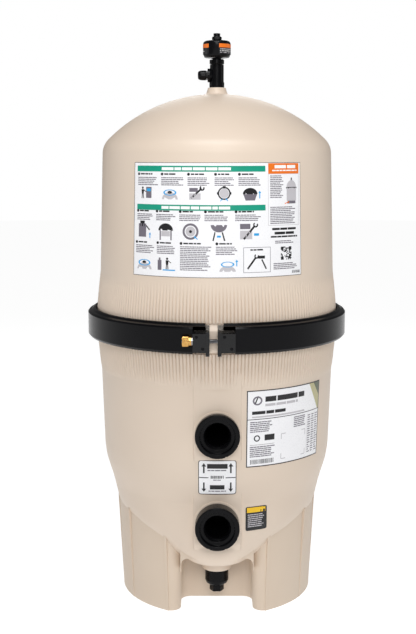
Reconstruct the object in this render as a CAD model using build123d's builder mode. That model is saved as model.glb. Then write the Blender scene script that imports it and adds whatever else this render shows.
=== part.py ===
# Vertical-grid D.E. tank filter, two-piece moulded tank closed by a hinged V-band clamp.
# Millimetres, +Z up, origin on the floor under the tank axis, ports and clamp bolt toward -Y.
import math
import os

from build123d import *

# ---- tank -------------------------------------------------------------------
split_z = 634.0            # parting plane between the two shells
wall = 8.0                 # moulded shell thickness
flange_r = 285.0           # outer radius of the tank flanges
flange_half = 19.0         # each flange is this tall at its rim
root_r = 272.5             # where the 45 degree flange face meets the wall
root_z = flange_half + (flange_r - root_r)
lid_low_r = 268.0          # lid wall at the low edge of the big label
lid_low_z = 753.0
lid_high_r = 260.0         # lid wall where the knuckle starts
knuckle_r = 47.0
crown_r = 350.0
crown_z = 801.0            # centre height of the crown sphere
knuckle_c = lid_high_r - knuckle_r
knuckle_z = crown_z + math.sqrt((crown_r - knuckle_r) ** 2 - knuckle_c ** 2)
crown_turn = math.atan2(knuckle_z - crown_z, knuckle_c)
body_low_r = 262.8         # lower shell wall where the bowl starts
body_low_z = 350.0

# dish of the lower shell: height and radius from the wall down to the middle
dish = [
    (350.0, 262.8),
    (335.0, 261.2),
    (320.0, 258.8),
    (299.0, 253.2),
    (276.0, 246.0),
    (255.0, 240.5),
    (235.0, 236.0),
    (216.0, 231.0),
    (202.0, 224.0),
    (188.0, 210.0),
    (174.0, 183.0),
    (163.0, 145.0),
    (156.0, 90.0),
    (153.0, 0.0),
]
# sump in front of the dish: height, section radius, how far its centre sits forward
sump = [
    (262.0, 232.0, 8.0),
    (235.0, 227.0, 16.0),
    (210.0, 213.0, 31.0),
    (190.0, 191.0, 53.0),
    (170.0, 160.0, 84.0),
    (150.0, 126.0, 117.0),
    (130.0, 96.0, 137.0),
    (112.0, 66.0, 148.0),
]
sump_low_z = sump[-1][0]

neck_r = 20.2
neck_z = 1165.0
neck_bore_r = 12.7
neck_flare_r = 29.0
seal_r = 274.5             # main O-ring centre radius
seal_d = 7.2
seal_squash = 0.2
groove_clear = 0.4

# ---- ports ------------------------------------------------------------------
outlet_z = 425.0
inlet_z = 221.0
port_face_y = -284.0
port_flange_r = 48.0
port_step_r = 37.0
port_step_depth = 7.0
port_bore_r = 26.3
port_barrel_r = 33.0
port_clear = 0.4
pad_half = 52.0
outlet_pad_y = -264.0
inlet_pad_y = -246.0
boss_r = 51.0
boss_h = 2.0
gasket_t = 3.0
locknut_r = 45.0
locknut_t = 13.0
outlet_nut_y = -250.5
inlet_nut_y = -227.0
barrel_end_y = -206.0

# ---- drain ------------------------------------------------------------------
drain_y = -150.0
drain_boss_r = 33.0
drain_boss_z = 87.0
drain_hole_r = 20.0
drain_thread_r = 19.6
drain_body_r = 26.5
drain_body_z = 48.0
drain_tip_r = 15.5
drain_tip_z = 33.0
drain_gap = 0.3
drain_seal_d = 3.0

# ---- base -------------------------------------------------------------------
base_top_z = 214.0
base_top_r = 230.0
base_foot_r = 222.4
base_wall = 6.0
base_lean = math.degrees(math.atan2(base_top_r - base_foot_r, base_top_z))
alcove_half = 81.5
alcove_back_y = -111.0
alcove_top_z = 131.0
alcove_back_fillet = 23.0
alcove_top_fillet = 16.0
leg_round = 22.0
lintel_step = 1.5
rib_step = 30
rib_w = 7.0
rib_out = 4.0

# ---- clamp ------------------------------------------------------------------
band_clear = 0.4
band_t = 2.0
band_tip_r = 276.0
band_in_r = flange_r + band_clear
band_out_r = band_in_r + band_t
slope = math.sqrt(2.0)
band_in_sum = flange_r + flange_half + band_clear * slope
band_out_sum = band_in_sum + band_t * slope
cover_r = 298.0
cover_gap = 0.2
cover_low_z = -26.0
cover_high_z = 26.0
cover_lip_r = 280.5
cover_lip_z = 35.0
hinge_turn = 130.0         # hinge pins, degrees round from the clamp bolt
hinge_r = 294.5
pin_r = 3.0
pin_clear = 0.25
knuckle_out_r = 6.0
knuckle_half = 8.7
knuckle_top = 20.0
knuckle_gap = 0.4
pin_x = hinge_r * math.sin(math.radians(hinge_turn))
pin_y = -hinge_r * math.cos(math.radians(hinge_turn))
arm_end_turn = 129.3
rear_start_turn = 130.7
arm_cover_turn = 125.5
rear_cover_turn = 134.5
gap_left_x = -17.0
gap_right_x = 0.0
ear_t = 8.0
lug_left_x = -52.0
lug_right_x = 37.0
cover_lip_left_x = -25.0
cover_lip_right_x = 12.0
bolt_y = -300.0
bolt_r = 4.75
bolt_hole_r = 5.75
lug_front_y = -310.0
lug_low_z = -23.0
lug_high_z = 17.0
ear_front_y = -313.0
ear_low_z = -30.0
ear_high_z = 21.0
barrel_x = 24.0
barrel_r = 7.3
barrel_half = 12.0
barrel_clear = 0.5
nut_flats = 20.6
nut_len = 14.0
nut_collar = 6.0
nut_collar_r = 9.5
nut_clear = 0.1
washer_r = 9.0
washer_t = 1.6
washer_gap = 0.3
nut_travel = 12.7
rivet_r = 3.2
rivet_h = 1.8

# ---- relief valve -----------------------------------------------------------
valve_gasket_t = 1.2
valve_flange_r = 16.8
valve_flange_h = 12.0
valve_body_r = 14.4
valve_body_top = neck_z + 51.0
valve_post_r = 10.0
valve_post_top = neck_z + 103.0
valve_bore_r = 4.5
gauge_hole_r = 5.6
gauge_hole_depth = 12.0
sleeve_r = 16.4
sleeve_low = neck_z + 52.0
sleeve_high = neck_z + 62.0
post_clear = 0.4
knob_r = 31.0
knob_low = neck_z + 66.0
knob_high = neck_z + 105.0
knob_wall = 3.5
knob_cavity_top = neck_z + 97.0
spring_wire = 1.6
spring_r = 13.6
vent_z = neck_z + 27.5
vent_tube_r = 7.0
vent_seat_x = -21.0
vent_cap_r = 11.0
vent_end_x = -43.0
plug_thread_r = 5.4
plug_hex = 19.0
plug_hex_h = 7.0
plug_head_r = 7.7
plug_head_top = neck_z + 120.0

# ---- filter internals -------------------------------------------------------
grid_count = 8
grid_t = 22.0
grid_in_r = 62.0
grid_out_r = 222.0
grid_bow = 16.0
grid_low = 300.0
grid_high = 915.0
partial_out_r = 112.0
nipple_r = 15.0
nipple_ring_r = 105.0
manifold_r = 150.0
manifold_low = 938.0
manifold_high = 978.0
rod_r = 5.0
rod_low = 262.0
rod_high = 1004.0
pipe_y = -158.0
pipe_r = 30.0
pipe_t = 3.0
pipe_low = 470.0
pipe_high = 944.0
elbow_bend = 42.0
spacer_r = 226.0
spacer_z = 282.0
spacer_t = 8.0
bleed_r = 4.0
bleed_x = 60.0
bleed_top = 1090.0
screen_r = 9.0

# ---- labels -----------------------------------------------------------------
film = 0.5
film_gap = 0.05

os.makedirs("parts", exist_ok=True)


def polar(radius, turn):
    # plan position, turn in degrees from -Y toward +X
    angle = math.radians(turn)
    return (radius * math.sin(angle), -radius * math.cos(angle))


def sector(radius, start, end):
    # plan polygon covering the turns from start to end
    steps = max(2, int(abs(end - start) // 15) + 2)
    turns = [start + (end - start) * i / (steps - 1) for i in range(steps)]
    return [(0.0, 0.0)] + [polar(radius, t) for t in turns]


def finish(part, name):
    part.label = name
    export_step(part, f"parts/{name}.step")


def dish_points(extra):
    # dish profile moved along its own normal, ends kept on the axis and the wall top
    shifted = []
    for i, (z, r) in enumerate(dish):
        near = dish[max(i - 1, 0)]
        far = dish[min(i + 1, len(dish) - 1)]
        run = math.hypot(near[0] - far[0], near[1] - far[1])
        out_r = (near[0] - far[0]) / run
        out_z = (near[1] - far[1]) / run
        if i == 0:
            shifted.append((r + extra, z))
        elif i == len(dish) - 1:
            shifted.append((0.0, z - extra))
        else:
            shifted.append((r + extra * out_r, z - extra * out_z))
    return shifted


def bowl_solid(extra, floor_z):
    # dish and sump together, grown by extra, sump cut flat at floor_z
    with BuildPart(mode=Mode.PRIVATE) as shape:
        for z, r, shift in sump:
            with BuildSketch(Plane.XY.offset(z)):
                with Locations((0, -shift)):
                    Circle(r + extra)
        loft()
        with BuildSketch(Plane.XY.offset(floor_z)):
            Rectangle(4 * body_low_r, 4 * body_low_r)
        extrude(amount=body_low_z, mode=Mode.INTERSECT)
        with BuildSketch(Plane.XZ):
            with BuildLine():
                curve = Spline(*dish_points(extra), tangents=[(-0.04, -1), (-1, 0)])
                Polyline(curve @ 1, (0, body_low_z), curve @ 0)
            make_face()
        revolve(axis=Axis.Z)
    return shape.part


# ---- lower shell ------------------------------------------------------------
inner_root = root_r - wall
with BuildPart() as tank_bottom:
    with BuildSketch(Plane.XZ):
        with BuildLine():
            Polyline(
                (0, body_low_z),
                (body_low_r, body_low_z),
                (root_r, split_z - root_z),
                (flange_r, split_z - flange_half),
                (flange_r, split_z),
                (0, split_z),
                close=True,
            )
        make_face()
    revolve(axis=Axis.Z)
    add(bowl_solid(0, sump_low_z))
    with BuildSketch(Plane.XY.offset(drain_boss_z)):
        with Locations((0, drain_y)):
            Circle(drain_boss_r)
    extrude(amount=sump_low_z + wall - drain_boss_z)
    with BuildSketch(Plane.XZ.offset(-inlet_pad_y)):
        with Locations((0, inlet_z + 4)):
            RectangleRounded(2 * pad_half, 116, 14)
    extrude(amount=-70)
    with BuildSketch(Plane.XZ.offset(-outlet_pad_y)):
        with Locations((0, outlet_z + 9)):
            RectangleRounded(2 * pad_half, 124, 14)
    extrude(amount=-20)
    with BuildSketch(Plane.XZ.offset(-outlet_pad_y)):
        with Locations((0, outlet_z + 9)):
            RectangleRounded(2 * pad_half, 124, 14)
    extrude(amount=20, mode=Mode.SUBTRACT)
    with BuildSketch(Plane.XZ.offset(-inlet_pad_y)):
        with Locations((0, inlet_z)):
            Circle(boss_r)
    extrude(amount=boss_h)
    with BuildSketch(Plane.XZ.offset(-outlet_pad_y)):
        with Locations((0, outlet_z)):
            Circle(boss_r)
    extrude(amount=boss_h)
    # hollow
    with BuildSketch(Plane.XZ):
        with BuildLine():
            Polyline(
                (0, body_low_z),
                (body_low_r - wall, body_low_z),
                (inner_root, split_z - root_z),
                (inner_root, split_z),
                (0, split_z),
                close=True,
            )
        make_face()
    revolve(axis=Axis.Z, mode=Mode.SUBTRACT)
    add(bowl_solid(-wall, sump_low_z + wall), mode=Mode.SUBTRACT)
    # drain, port holes and O-ring groove
    with BuildSketch(Plane.XY.offset(drain_boss_z)):
        with Locations((0, drain_y)):
            Circle(drain_hole_r)
    extrude(amount=wall * 5, mode=Mode.SUBTRACT)
    with BuildSketch(Plane.XZ.offset(-port_face_y)):
        with Locations((0, inlet_z), (0, outlet_z)):
            Circle(port_barrel_r + port_clear)
    extrude(amount=-90, mode=Mode.SUBTRACT)
    with BuildSketch(Plane.XY.offset(split_z)):
        Circle(seal_r + seal_d / 2 + groove_clear)
        Circle(seal_r - seal_d / 2 - groove_clear, mode=Mode.SUBTRACT)
    extrude(amount=-(seal_d + seal_squash + groove_clear), mode=Mode.SUBTRACT)
finish(tank_bottom.part, "tank_bottom")

# ---- main O-ring ------------------------------------------------------------
with BuildPart() as tank_seal:
    with BuildSketch(Plane.XZ):
        with Locations((seal_r, split_z - seal_squash - seal_d / 2)):
            Circle(seal_d / 2)
    revolve(axis=Axis.Z)
finish(tank_seal.part, "tank_seal")

# ---- lid --------------------------------------------------------------------
neck_foot_z = crown_z + math.sqrt(crown_r ** 2 - neck_flare_r ** 2)
with BuildPart() as tank_lid:
    with BuildSketch(Plane.XZ):
        with BuildLine():
            low = Polyline(
                (0, split_z),
                (flange_r, split_z),
                (flange_r, split_z + flange_half),
                (root_r, split_z + root_z),
                (lid_low_r, lid_low_z),
                (lid_high_r, knuckle_z),
            )
            bend = ThreePointArc(
                low @ 1,
                (
                    knuckle_c + knuckle_r * math.cos(crown_turn / 2),
                    knuckle_z + knuckle_r * math.sin(crown_turn / 2),
                ),
                (
                    knuckle_c + knuckle_r * math.cos(crown_turn),
                    knuckle_z + knuckle_r * math.sin(crown_turn),
                ),
            )
            mid_turn = (crown_turn + math.pi / 2) / 2
            crown = ThreePointArc(
                bend @ 1,
                (crown_r * math.cos(mid_turn), crown_z + crown_r * math.sin(mid_turn)),
                (neck_flare_r, neck_foot_z),
            )
            flare = ThreePointArc(
                crown @ 1,
                (neck_r + 2.6, neck_foot_z + 2.6),
                (neck_r, neck_foot_z + 8.0),
            )
            Polyline(flare @ 1, (neck_r, neck_z), (0, neck_z), (0, split_z))
        make_face()
    revolve(axis=Axis.Z)
    with BuildSketch(Plane.XZ):
        with BuildLine():
            low = Polyline(
                (0, split_z),
                (inner_root, split_z),
                (inner_root, split_z + root_z),
                (lid_low_r - wall, lid_low_z),
                (lid_high_r - wall, knuckle_z),
            )
            inner_bend = knuckle_r - wall
            bend = ThreePointArc(
                low @ 1,
                (
                    knuckle_c + inner_bend * math.cos(crown_turn / 2),
                    knuckle_z + inner_bend * math.sin(crown_turn / 2),
                ),
                (
                    knuckle_c + inner_bend * math.cos(crown_turn),
                    knuckle_z + inner_bend * math.sin(crown_turn),
                ),
            )
            inner_crown = crown_r - wall
            ThreePointArc(
                bend @ 1,
                (
                    inner_crown * math.cos(mid_turn),
                    crown_z + inner_crown * math.sin(mid_turn),
                ),
                (0, crown_z + inner_crown),
            )
            Line((0, crown_z + inner_crown), (0, split_z))
        make_face()
    revolve(axis=Axis.Z, mode=Mode.SUBTRACT)
    with BuildSketch(Plane.XY.offset(neck_z)):
        Circle(neck_bore_r)
    extrude(amount=-60, mode=Mode.SUBTRACT)
finish(tank_lid.part, "tank_lid")

# ---- base -------------------------------------------------------------------
def tub_plan(inset):
    # foot outline of the tub with its alcove, moved inward by inset
    with BuildSketch(mode=Mode.PRIVATE) as plan:
        Circle(base_foot_r)
        with Locations((0, alcove_back_y - base_foot_r)):
            Rectangle(2 * alcove_half, 2 * base_foot_r, mode=Mode.SUBTRACT)
        back_corners = [v for v in vertices() if abs(v.Y - alcove_back_y) < 1]
        fillet(back_corners, alcove_back_fillet)
        front_corners = vertices().group_by(Axis.Y)[0]
        fillet(front_corners, leg_round)
        if inset:
            offset(amount=-inset, mode=Mode.REPLACE)
    return plan.sketch


with BuildPart() as tub_inside:
    add(tub_plan(base_wall))
    extrude(amount=base_top_z, taper=-base_lean)

with BuildPart() as tub_disc:
    with BuildSketch():
        Circle(base_foot_r)
    extrude(amount=base_top_z, taper=-base_lean)

with BuildPart() as base_skirt:
    add(tub_plan(0))
    extrude(amount=base_top_z, taper=-base_lean)
    for turn in range(rib_step, 360, rib_step):
        angle = math.radians(turn)
        rib = Plane(
            origin=(0, 0, 0),
            x_dir=(math.sin(angle), -math.cos(angle), 0),
            z_dir=(-math.cos(angle), -math.sin(angle), 0),
        )
        with BuildSketch(rib):
            with BuildLine():
                Polyline(
                    (base_foot_r - 3, 0),
                    (base_foot_r + 0.6, 0),
                    (base_top_r + rib_out, base_top_z),
                    (base_top_r - 4, base_top_z),
                    close=True,
                )
            make_face()
        extrude(amount=rib_w / 2, both=True)
    # arched lintel that closes the alcove under the bowl
    with BuildPart(mode=Mode.PRIVATE) as lintel:
        with BuildSketch(Plane.XZ.offset(-alcove_back_y)):
            with Locations((0, alcove_top_z)):
                Rectangle(2 * alcove_half, 4 * alcove_top_fillet)
            with Locations((0, alcove_top_z / 2)):
                Rectangle(2 * alcove_half - 2 * lintel_step, alcove_top_z, mode=Mode.SUBTRACT)
            arch = [
                v
                for v in vertices()
                if abs(v.Y - alcove_top_z) < 1 and abs(v.X) < alcove_half - 1
            ]
            fillet(arch, alcove_top_fillet)
        extrude(amount=base_foot_r)
        add(tub_disc.part, mode=Mode.INTERSECT)
    add(lintel.part)
    add(tub_inside.part, mode=Mode.SUBTRACT)
    add(bowl_solid(film_gap, sump_low_z), mode=Mode.SUBTRACT)
finish(base_skirt.part, "base_skirt")

# ---- clamp ------------------------------------------------------------------
tip_in = band_in_sum - band_tip_r
tip_out = tip_in + band_t / slope
band_profile = [
    (band_tip_r, tip_in),
    (band_in_r, band_in_sum - band_in_r),
    (band_in_r, -(band_in_sum - band_in_r)),
    (band_tip_r, -tip_in),
    (band_tip_r + band_t / slope, -tip_out),
    (band_out_r, -(band_out_sum - band_out_r)),
    (band_out_r, band_out_sum - band_out_r),
    (band_tip_r + band_t / slope, tip_out),
]
cover_sum = band_out_sum + cover_gap * slope
cover_in_r = band_out_r + cover_gap
cover_profile = [
    (cover_in_r, cover_sum - cover_in_r),
    (cover_lip_r - 1, cover_sum - cover_lip_r + 1),
    (cover_lip_r, cover_lip_z - 2),
    (cover_lip_r + 2, cover_lip_z),
    (cover_lip_r + 5, cover_lip_z - 1),
    (cover_lip_r + 9, cover_high_z + 4),
    (cover_r - 3, cover_high_z + 2),
    (cover_r, cover_high_z - 1.5),
    (cover_r, cover_low_z + 2),
    (cover_r - 4, cover_low_z - 3),
    (cover_lip_r + 3, cover_low_z - 6),
    (cover_lip_r - 1, -(cover_sum - cover_lip_r + 1)),
    (cover_in_r, -(cover_sum - cover_in_r)),
]


def ring(profile, start, end):
    # closed section turned round the tank axis, kept between two turns
    with BuildPart(mode=Mode.PRIVATE) as shape:
        with BuildSketch(Plane.XZ):
            with BuildLine():
                Polyline(*[(r, split_z + z) for r, z in profile], close=True)
            make_face()
        revolve(axis=Axis.Z)
        with BuildSketch():
            with BuildLine():
                Polyline(*sector(2 * cover_r, start, end), close=True)
            make_face()
        extrude(amount=2 * split_z, mode=Mode.INTERSECT)
    return shape.part


def knuckle(side, low, high, start, end):
    # hinge eye and the block that ties it to the band
    with BuildPart(mode=Mode.PRIVATE) as shape:
        with BuildSketch(Plane.XY.offset(split_z + low)):
            Circle(hinge_r + 2)
            Circle(band_out_r - band_t / 2, mode=Mode.SUBTRACT)
            with BuildLine():
                Polyline(*sector(2 * cover_r, side * start, side * end), close=True)
            make_face(mode=Mode.INTERSECT)
            with Locations((side * pin_x, pin_y)):
                Circle(knuckle_out_r)
                Circle(pin_r + pin_clear, mode=Mode.SUBTRACT)
        extrude(amount=high - low)
    return shape.part


def front_cut(low_x, high_x, low_z, high_z, depth_y):
    # box that trims the clamp near the bolt
    with BuildPart(mode=Mode.PRIVATE) as shape:
        with Locations(
            (
                (low_x + high_x) / 2,
                (depth_y - 2 * cover_r) / 2,
                split_z + (low_z + high_z) / 2,
            )
        ):
            Box(high_x - low_x, 2 * cover_r + depth_y, high_z - low_z)
    return shape.part


full_z = 2 * root_z
with BuildPart() as clamp_band_rear:
    add(ring(band_profile, rear_start_turn, 360 - rear_start_turn))
    for side in (-1, 1):
        add(knuckle(side, knuckle_half + knuckle_gap, knuckle_top, hinge_turn, hinge_turn + 3))
        add(knuckle(side, -knuckle_top, -knuckle_half - knuckle_gap, hinge_turn, hinge_turn + 3))
finish(clamp_band_rear.part, "clamp_band_rear")

with BuildPart() as clamp_band_left:
    add(ring(band_profile, 0, -arm_end_turn))
    add(knuckle(-1, -knuckle_half, knuckle_half, hinge_turn - 3, hinge_turn))
    add(front_cut(gap_left_x, 3 * lug_right_x, -full_z, full_z, -bolt_y / 2), mode=Mode.SUBTRACT)
finish(clamp_band_left.part, "clamp_band_left")

with BuildPart() as clamp_band_right:
    add(ring(band_profile, -10, arm_end_turn))
    add(knuckle(1, -knuckle_half, knuckle_half, hinge_turn - 3, hinge_turn))
    add(front_cut(3 * lug_left_x, gap_right_x, -full_z, full_z, -bolt_y / 2), mode=Mode.SUBTRACT)
finish(clamp_band_right.part, "clamp_band_right")

with BuildPart() as clamp_cover_rear:
    add(ring(cover_profile, rear_cover_turn, 360 - rear_cover_turn))
finish(clamp_cover_rear.part, "clamp_cover_rear")

trim_low = -full_z
lip_low = cover_high_z + 3
with BuildPart() as clamp_cover_left:
    add(ring(cover_profile, 0, -arm_cover_turn))
    add(front_cut(cover_lip_left_x, 99, trim_low, full_z, -99), mode=Mode.SUBTRACT)
    add(front_cut(lug_left_x, 99, trim_low, lip_low, -99), mode=Mode.SUBTRACT)
    nut_room = nut_len + nut_collar + nut_travel + 4 * washer_t
    nut_notch = nut_collar_r + 4
    nut_floor = cover_in_r + cover_gap
    add(
        front_cut(lug_left_x - nut_room, lug_left_x, -nut_notch, nut_notch, -nut_floor),
        mode=Mode.SUBTRACT,
    )
finish(clamp_cover_left.part, "clamp_cover_left")

with BuildPart() as clamp_cover_right:
    add(ring(cover_profile, -10, arm_cover_turn))
    add(front_cut(-99, cover_lip_right_x, trim_low, full_z, -99), mode=Mode.SUBTRACT)
    add(front_cut(-99, lug_right_x, trim_low, lip_low, -99), mode=Mode.SUBTRACT)
finish(clamp_cover_right.part, "clamp_cover_right")


def lug(ear_x, boss_x, toward):
    # cast lug: boss beside the bolt and a taller ear at the gap
    with BuildPart(mode=Mode.PRIVATE) as shape:
        with BuildSketch(Plane.YZ.offset(ear_x)):
            with Locations(
                ((lug_front_y - band_in_r / 2) / 2, split_z + (lug_low_z + lug_high_z) / 2)
            ):
                Rectangle(-lug_front_y - band_in_r / 2, lug_high_z - lug_low_z)
            front = [v for v in vertices() if v.Y < lug_front_y + 1]
            fillet(front, 5)
        extrude(amount=boss_x - ear_x)
        with BuildSketch(Plane.YZ.offset(ear_x)):
            with Locations(
                ((ear_front_y - band_in_r / 2) / 2, split_z + (ear_low_z + ear_high_z) / 2)
            ):
                Rectangle(-ear_front_y - band_in_r / 2, ear_high_z - ear_low_z)
            front = [v for v in vertices() if v.Y < ear_front_y + 1]
            fillet(front, 6)
        extrude(amount=toward * ear_t)
        # seat on the band, bolt hole
        with BuildSketch(Plane.XY.offset(split_z - full_z)):
            Circle(band_out_r)
        extrude(amount=2 * full_z, mode=Mode.SUBTRACT)
        with BuildSketch(Plane.YZ.offset(ear_x - 60)):
            with Locations((bolt_y, split_z)):
                Circle(bolt_hole_r)
        extrude(amount=120, mode=Mode.SUBTRACT)
    return shape.part


with BuildPart() as clamp_lug_left:
    add(lug(gap_left_x, lug_left_x, -1))
finish(clamp_lug_left.part, "clamp_lug_left")

with BuildPart() as clamp_lug_right:
    add(lug(gap_right_x, lug_right_x, 1))
    with BuildSketch(Plane.XY.offset(split_z + lug_low_z - 1)):
        with Locations((barrel_x, bolt_y)):
            Circle(barrel_r + barrel_clear)
    extrude(amount=barrel_half + barrel_clear - lug_low_z + 1, mode=Mode.SUBTRACT)
finish(clamp_lug_right.part, "clamp_lug_right")


for side, low_x, high_x in (
    ("left", lug_left_x + 8, gap_left_x - ear_t - 6),
    ("right", gap_right_x + ear_t + 6, lug_right_x - 8),
):
    # two domed rivet heads on the face of each lug
    with BuildPart() as rivets:
        for x, z in ((low_x, lug_high_z - 7), (high_x, lug_low_z + 8)):
            with BuildSketch(Plane.XZ.offset(-lug_front_y)):
                with Locations((x, split_z + z)):
                    Circle(rivet_r)
        extrude(amount=rivet_h)
        heads = faces().group_by(Axis.Y)[0].edges()
        fillet(heads, rivet_h / 2)
    finish(rivets.part, f"clamp_rivets_{side}")

with BuildPart() as clamp_pins:
    with BuildSketch(Plane.XY.offset(split_z - knuckle_top)):
        with Locations((-pin_x, pin_y), (pin_x, pin_y)):
            Circle(pin_r)
    extrude(amount=2 * knuckle_top)
    with BuildSketch(Plane.XY.offset(split_z + knuckle_top)):
        with Locations((-pin_x, pin_y), (pin_x, pin_y)):
            Circle(pin_r + 1.6)
    extrude(amount=1.8)
    with BuildSketch(Plane.XY.offset(split_z - knuckle_top)):
        with Locations((-pin_x, pin_y), (pin_x, pin_y)):
            Circle(pin_r + 1.6)
    extrude(amount=-1.8)
finish(clamp_pins.part, "clamp_pins")

washer_x = lug_left_x - washer_gap
nut_x = washer_x - washer_t - washer_gap / 3
with BuildPart() as clamp_bolt:
    with BuildSketch(Plane.XY.offset(split_z - barrel_half)):
        with Locations((barrel_x, bolt_y)):
            Circle(barrel_r)
    extrude(amount=2 * barrel_half)
    bolt_end_x = nut_x - nut_len - nut_collar + 1.5
    with BuildSketch(Plane.YZ.offset(bolt_end_x)):
        with Locations((bolt_y, split_z)):
            Circle(bolt_r)
    extrude(amount=barrel_x - bolt_end_x)
    tip = faces().sort_by(Axis.X)[0]
    chamfer(tip.edges(), 1.0)
finish(clamp_bolt.part, "clamp_bolt")

with BuildPart() as clamp_nut:
    with BuildSketch(Plane.YZ.offset(nut_x)):
        with Locations((bolt_y, split_z)):
            Circle(nut_collar_r)
    extrude(amount=-nut_collar)
    with BuildSketch(Plane.YZ.offset(nut_x - nut_collar)):
        with Locations((bolt_y, split_z)):
            RegularPolygon(nut_flats / 2, 6, major_radius=False, rotation=30)
    extrude(amount=-nut_len)
    with BuildSketch(Plane.YZ.offset(nut_x)):
        with Locations((bolt_y, split_z)):
            Circle(bolt_r + nut_clear)
    extrude(amount=-nut_collar - nut_len, mode=Mode.SUBTRACT)
finish(clamp_nut.part, "clamp_nut")

with BuildPart() as clamp_washer:
    with BuildSketch(Plane.YZ.offset(washer_x)):
        with Locations((bolt_y, split_z)):
            Circle(washer_r)
            Circle(bolt_r + 2 * nut_clear, mode=Mode.SUBTRACT)
    extrude(amount=-washer_t)
finish(clamp_washer.part, "clamp_washer")

# ---- relief valve -----------------------------------------------------------
with BuildPart() as valve_body:
    with BuildSketch(Plane.XY.offset(neck_z + valve_gasket_t)):
        Circle(valve_flange_r)
    extrude(amount=valve_flange_h - valve_gasket_t)
    with BuildSketch(Plane.XY.offset(neck_z + valve_gasket_t)):
        Circle(neck_bore_r - pin_clear)
    extrude(amount=-28)
    with BuildSketch(Plane.XY.offset(neck_z + valve_flange_h)):
        Circle(valve_body_r)
    extrude(amount=valve_body_top - neck_z - valve_flange_h)
    with BuildSketch(Plane.XY.offset(valve_body_top)):
        Circle(valve_post_r)
    extrude(amount=valve_post_top - valve_body_top)
    # side outlet: cone from the body to a round seat, then the threaded tube
    with BuildSketch(Plane.YZ.offset(vent_seat_x)):
        with Locations((0, vent_z)):
            Circle(15.3)
    extrude(amount=5)
    with BuildSketch(Plane.YZ.offset(vent_seat_x + 5)):
        with Locations((0, vent_z)):
            Circle(15.3)
    with BuildSketch(Plane.YZ.offset(-7)):
        with Locations((0, vent_z)):
            Circle(10)
    loft()
    with BuildSketch(Plane.YZ.offset(vent_seat_x)):
        with Locations((0, vent_z)):
            Circle(vent_tube_r)
    extrude(amount=-14)
    with PolarLocations(0, 6):
        with Locations((valve_body_r, 0, (valve_body_top + neck_z + valve_flange_h) / 2)):
            Box(2.4, 2.2, valve_body_top - neck_z - valve_flange_h)
    # passages
    with BuildSketch(Plane.XY.offset(neck_z - 28)):
        Circle(valve_bore_r)
    extrude(amount=valve_post_top - neck_z + 28, mode=Mode.SUBTRACT)
    with BuildSketch(Plane.XY.offset(valve_post_top)):
        Circle(gauge_hole_r)
    extrude(amount=-gauge_hole_depth, mode=Mode.SUBTRACT)
    with BuildSketch(Plane.YZ.offset(vent_seat_x - 14)):
        with Locations((0, vent_z)):
            Circle(valve_bore_r)
    extrude(amount=14 - vent_seat_x, mode=Mode.SUBTRACT)
finish(valve_body.part, "valve_body")

with BuildPart() as valve_sleeve:
    with BuildSketch(Plane.XY.offset(sleeve_low)):
        Circle(sleeve_r)
        Circle(valve_post_r + post_clear, mode=Mode.SUBTRACT)
    extrude(amount=sleeve_high - sleeve_low)
    outer = edges().filter_by(GeomType.CIRCLE).group_by(SortBy.RADIUS)[-1]
    fillet(outer, 1.5)
finish(valve_sleeve.part, "valve_sleeve")

with BuildPart() as valve_knob:
    with BuildSketch(Plane.XZ):
        with BuildLine():
            Polyline(
                (valve_post_r + post_clear, knob_cavity_top),
                (knob_r - knob_wall, knob_cavity_top),
                (knob_r - knob_wall, knob_low),
                (knob_r - 3, knob_low),
                (knob_r, knob_low + 4),
                (knob_r, knob_high - 8),
                (knob_r - 2, knob_high - 4),
                (knob_r - 8, knob_high - 1.5),
                (valve_post_r + 6, knob_high),
                (valve_post_r + post_clear, knob_high),
                close=True,
            )
        make_face()
    revolve(axis=Axis.Z)
finish(valve_knob.part, "valve_knob")

spring_low = sleeve_high + spring_wire / 2 + 0.2
spring_high = knob_cavity_top - spring_wire / 2 - 0.2
spring_pitch = (spring_high - spring_low) / 6
with BuildPart() as valve_spring:
    with BuildLine():
        Helix(spring_pitch, spring_high - spring_low, spring_r, center=(0, 0, spring_low))
    with BuildSketch(Plane((spring_r, 0, spring_low), x_dir=(1, 0, 0), z_dir=(0, 1, 0))):
        Circle(spring_wire / 2)
    sweep()
finish(valve_spring.part, "valve_spring")

with BuildPart() as gauge_plug:
    with BuildSketch(Plane.XY.offset(knob_high + 0.4)):
        RegularPolygon(plug_hex / 2, 6, major_radius=False)
    extrude(amount=plug_hex_h)
    with BuildSketch(Plane.XY.offset(knob_high + 0.4)):
        Circle(plug_head_r)
    extrude(amount=plug_head_top - knob_high - 0.4)
    head = faces().sort_by(Axis.Z)[-1]
    fillet(head.edges(), 1.5)
    with BuildSketch(Plane.XY.offset(knob_high + 0.4)):
        Circle(plug_thread_r)
    extrude(amount=-gauge_hole_depth)
finish(gauge_plug.part, "gauge_plug")

with BuildPart() as gauge_seal:
    with BuildSketch(Plane.XY.offset(valve_post_top + 0.1)):
        Circle(valve_post_r - 0.6)
        Circle(plug_thread_r + 0.1, mode=Mode.SUBTRACT)
    extrude(amount=1.6)
finish(gauge_seal.part, "gauge_seal")

with BuildPart() as valve_gasket:
    with BuildSketch(Plane.XY.offset(neck_z)):
        Circle(valve_flange_r - 0.6)
        Circle(neck_bore_r, mode=Mode.SUBTRACT)
    extrude(amount=valve_gasket_t)
finish(valve_gasket.part, "valve_gasket")

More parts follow.
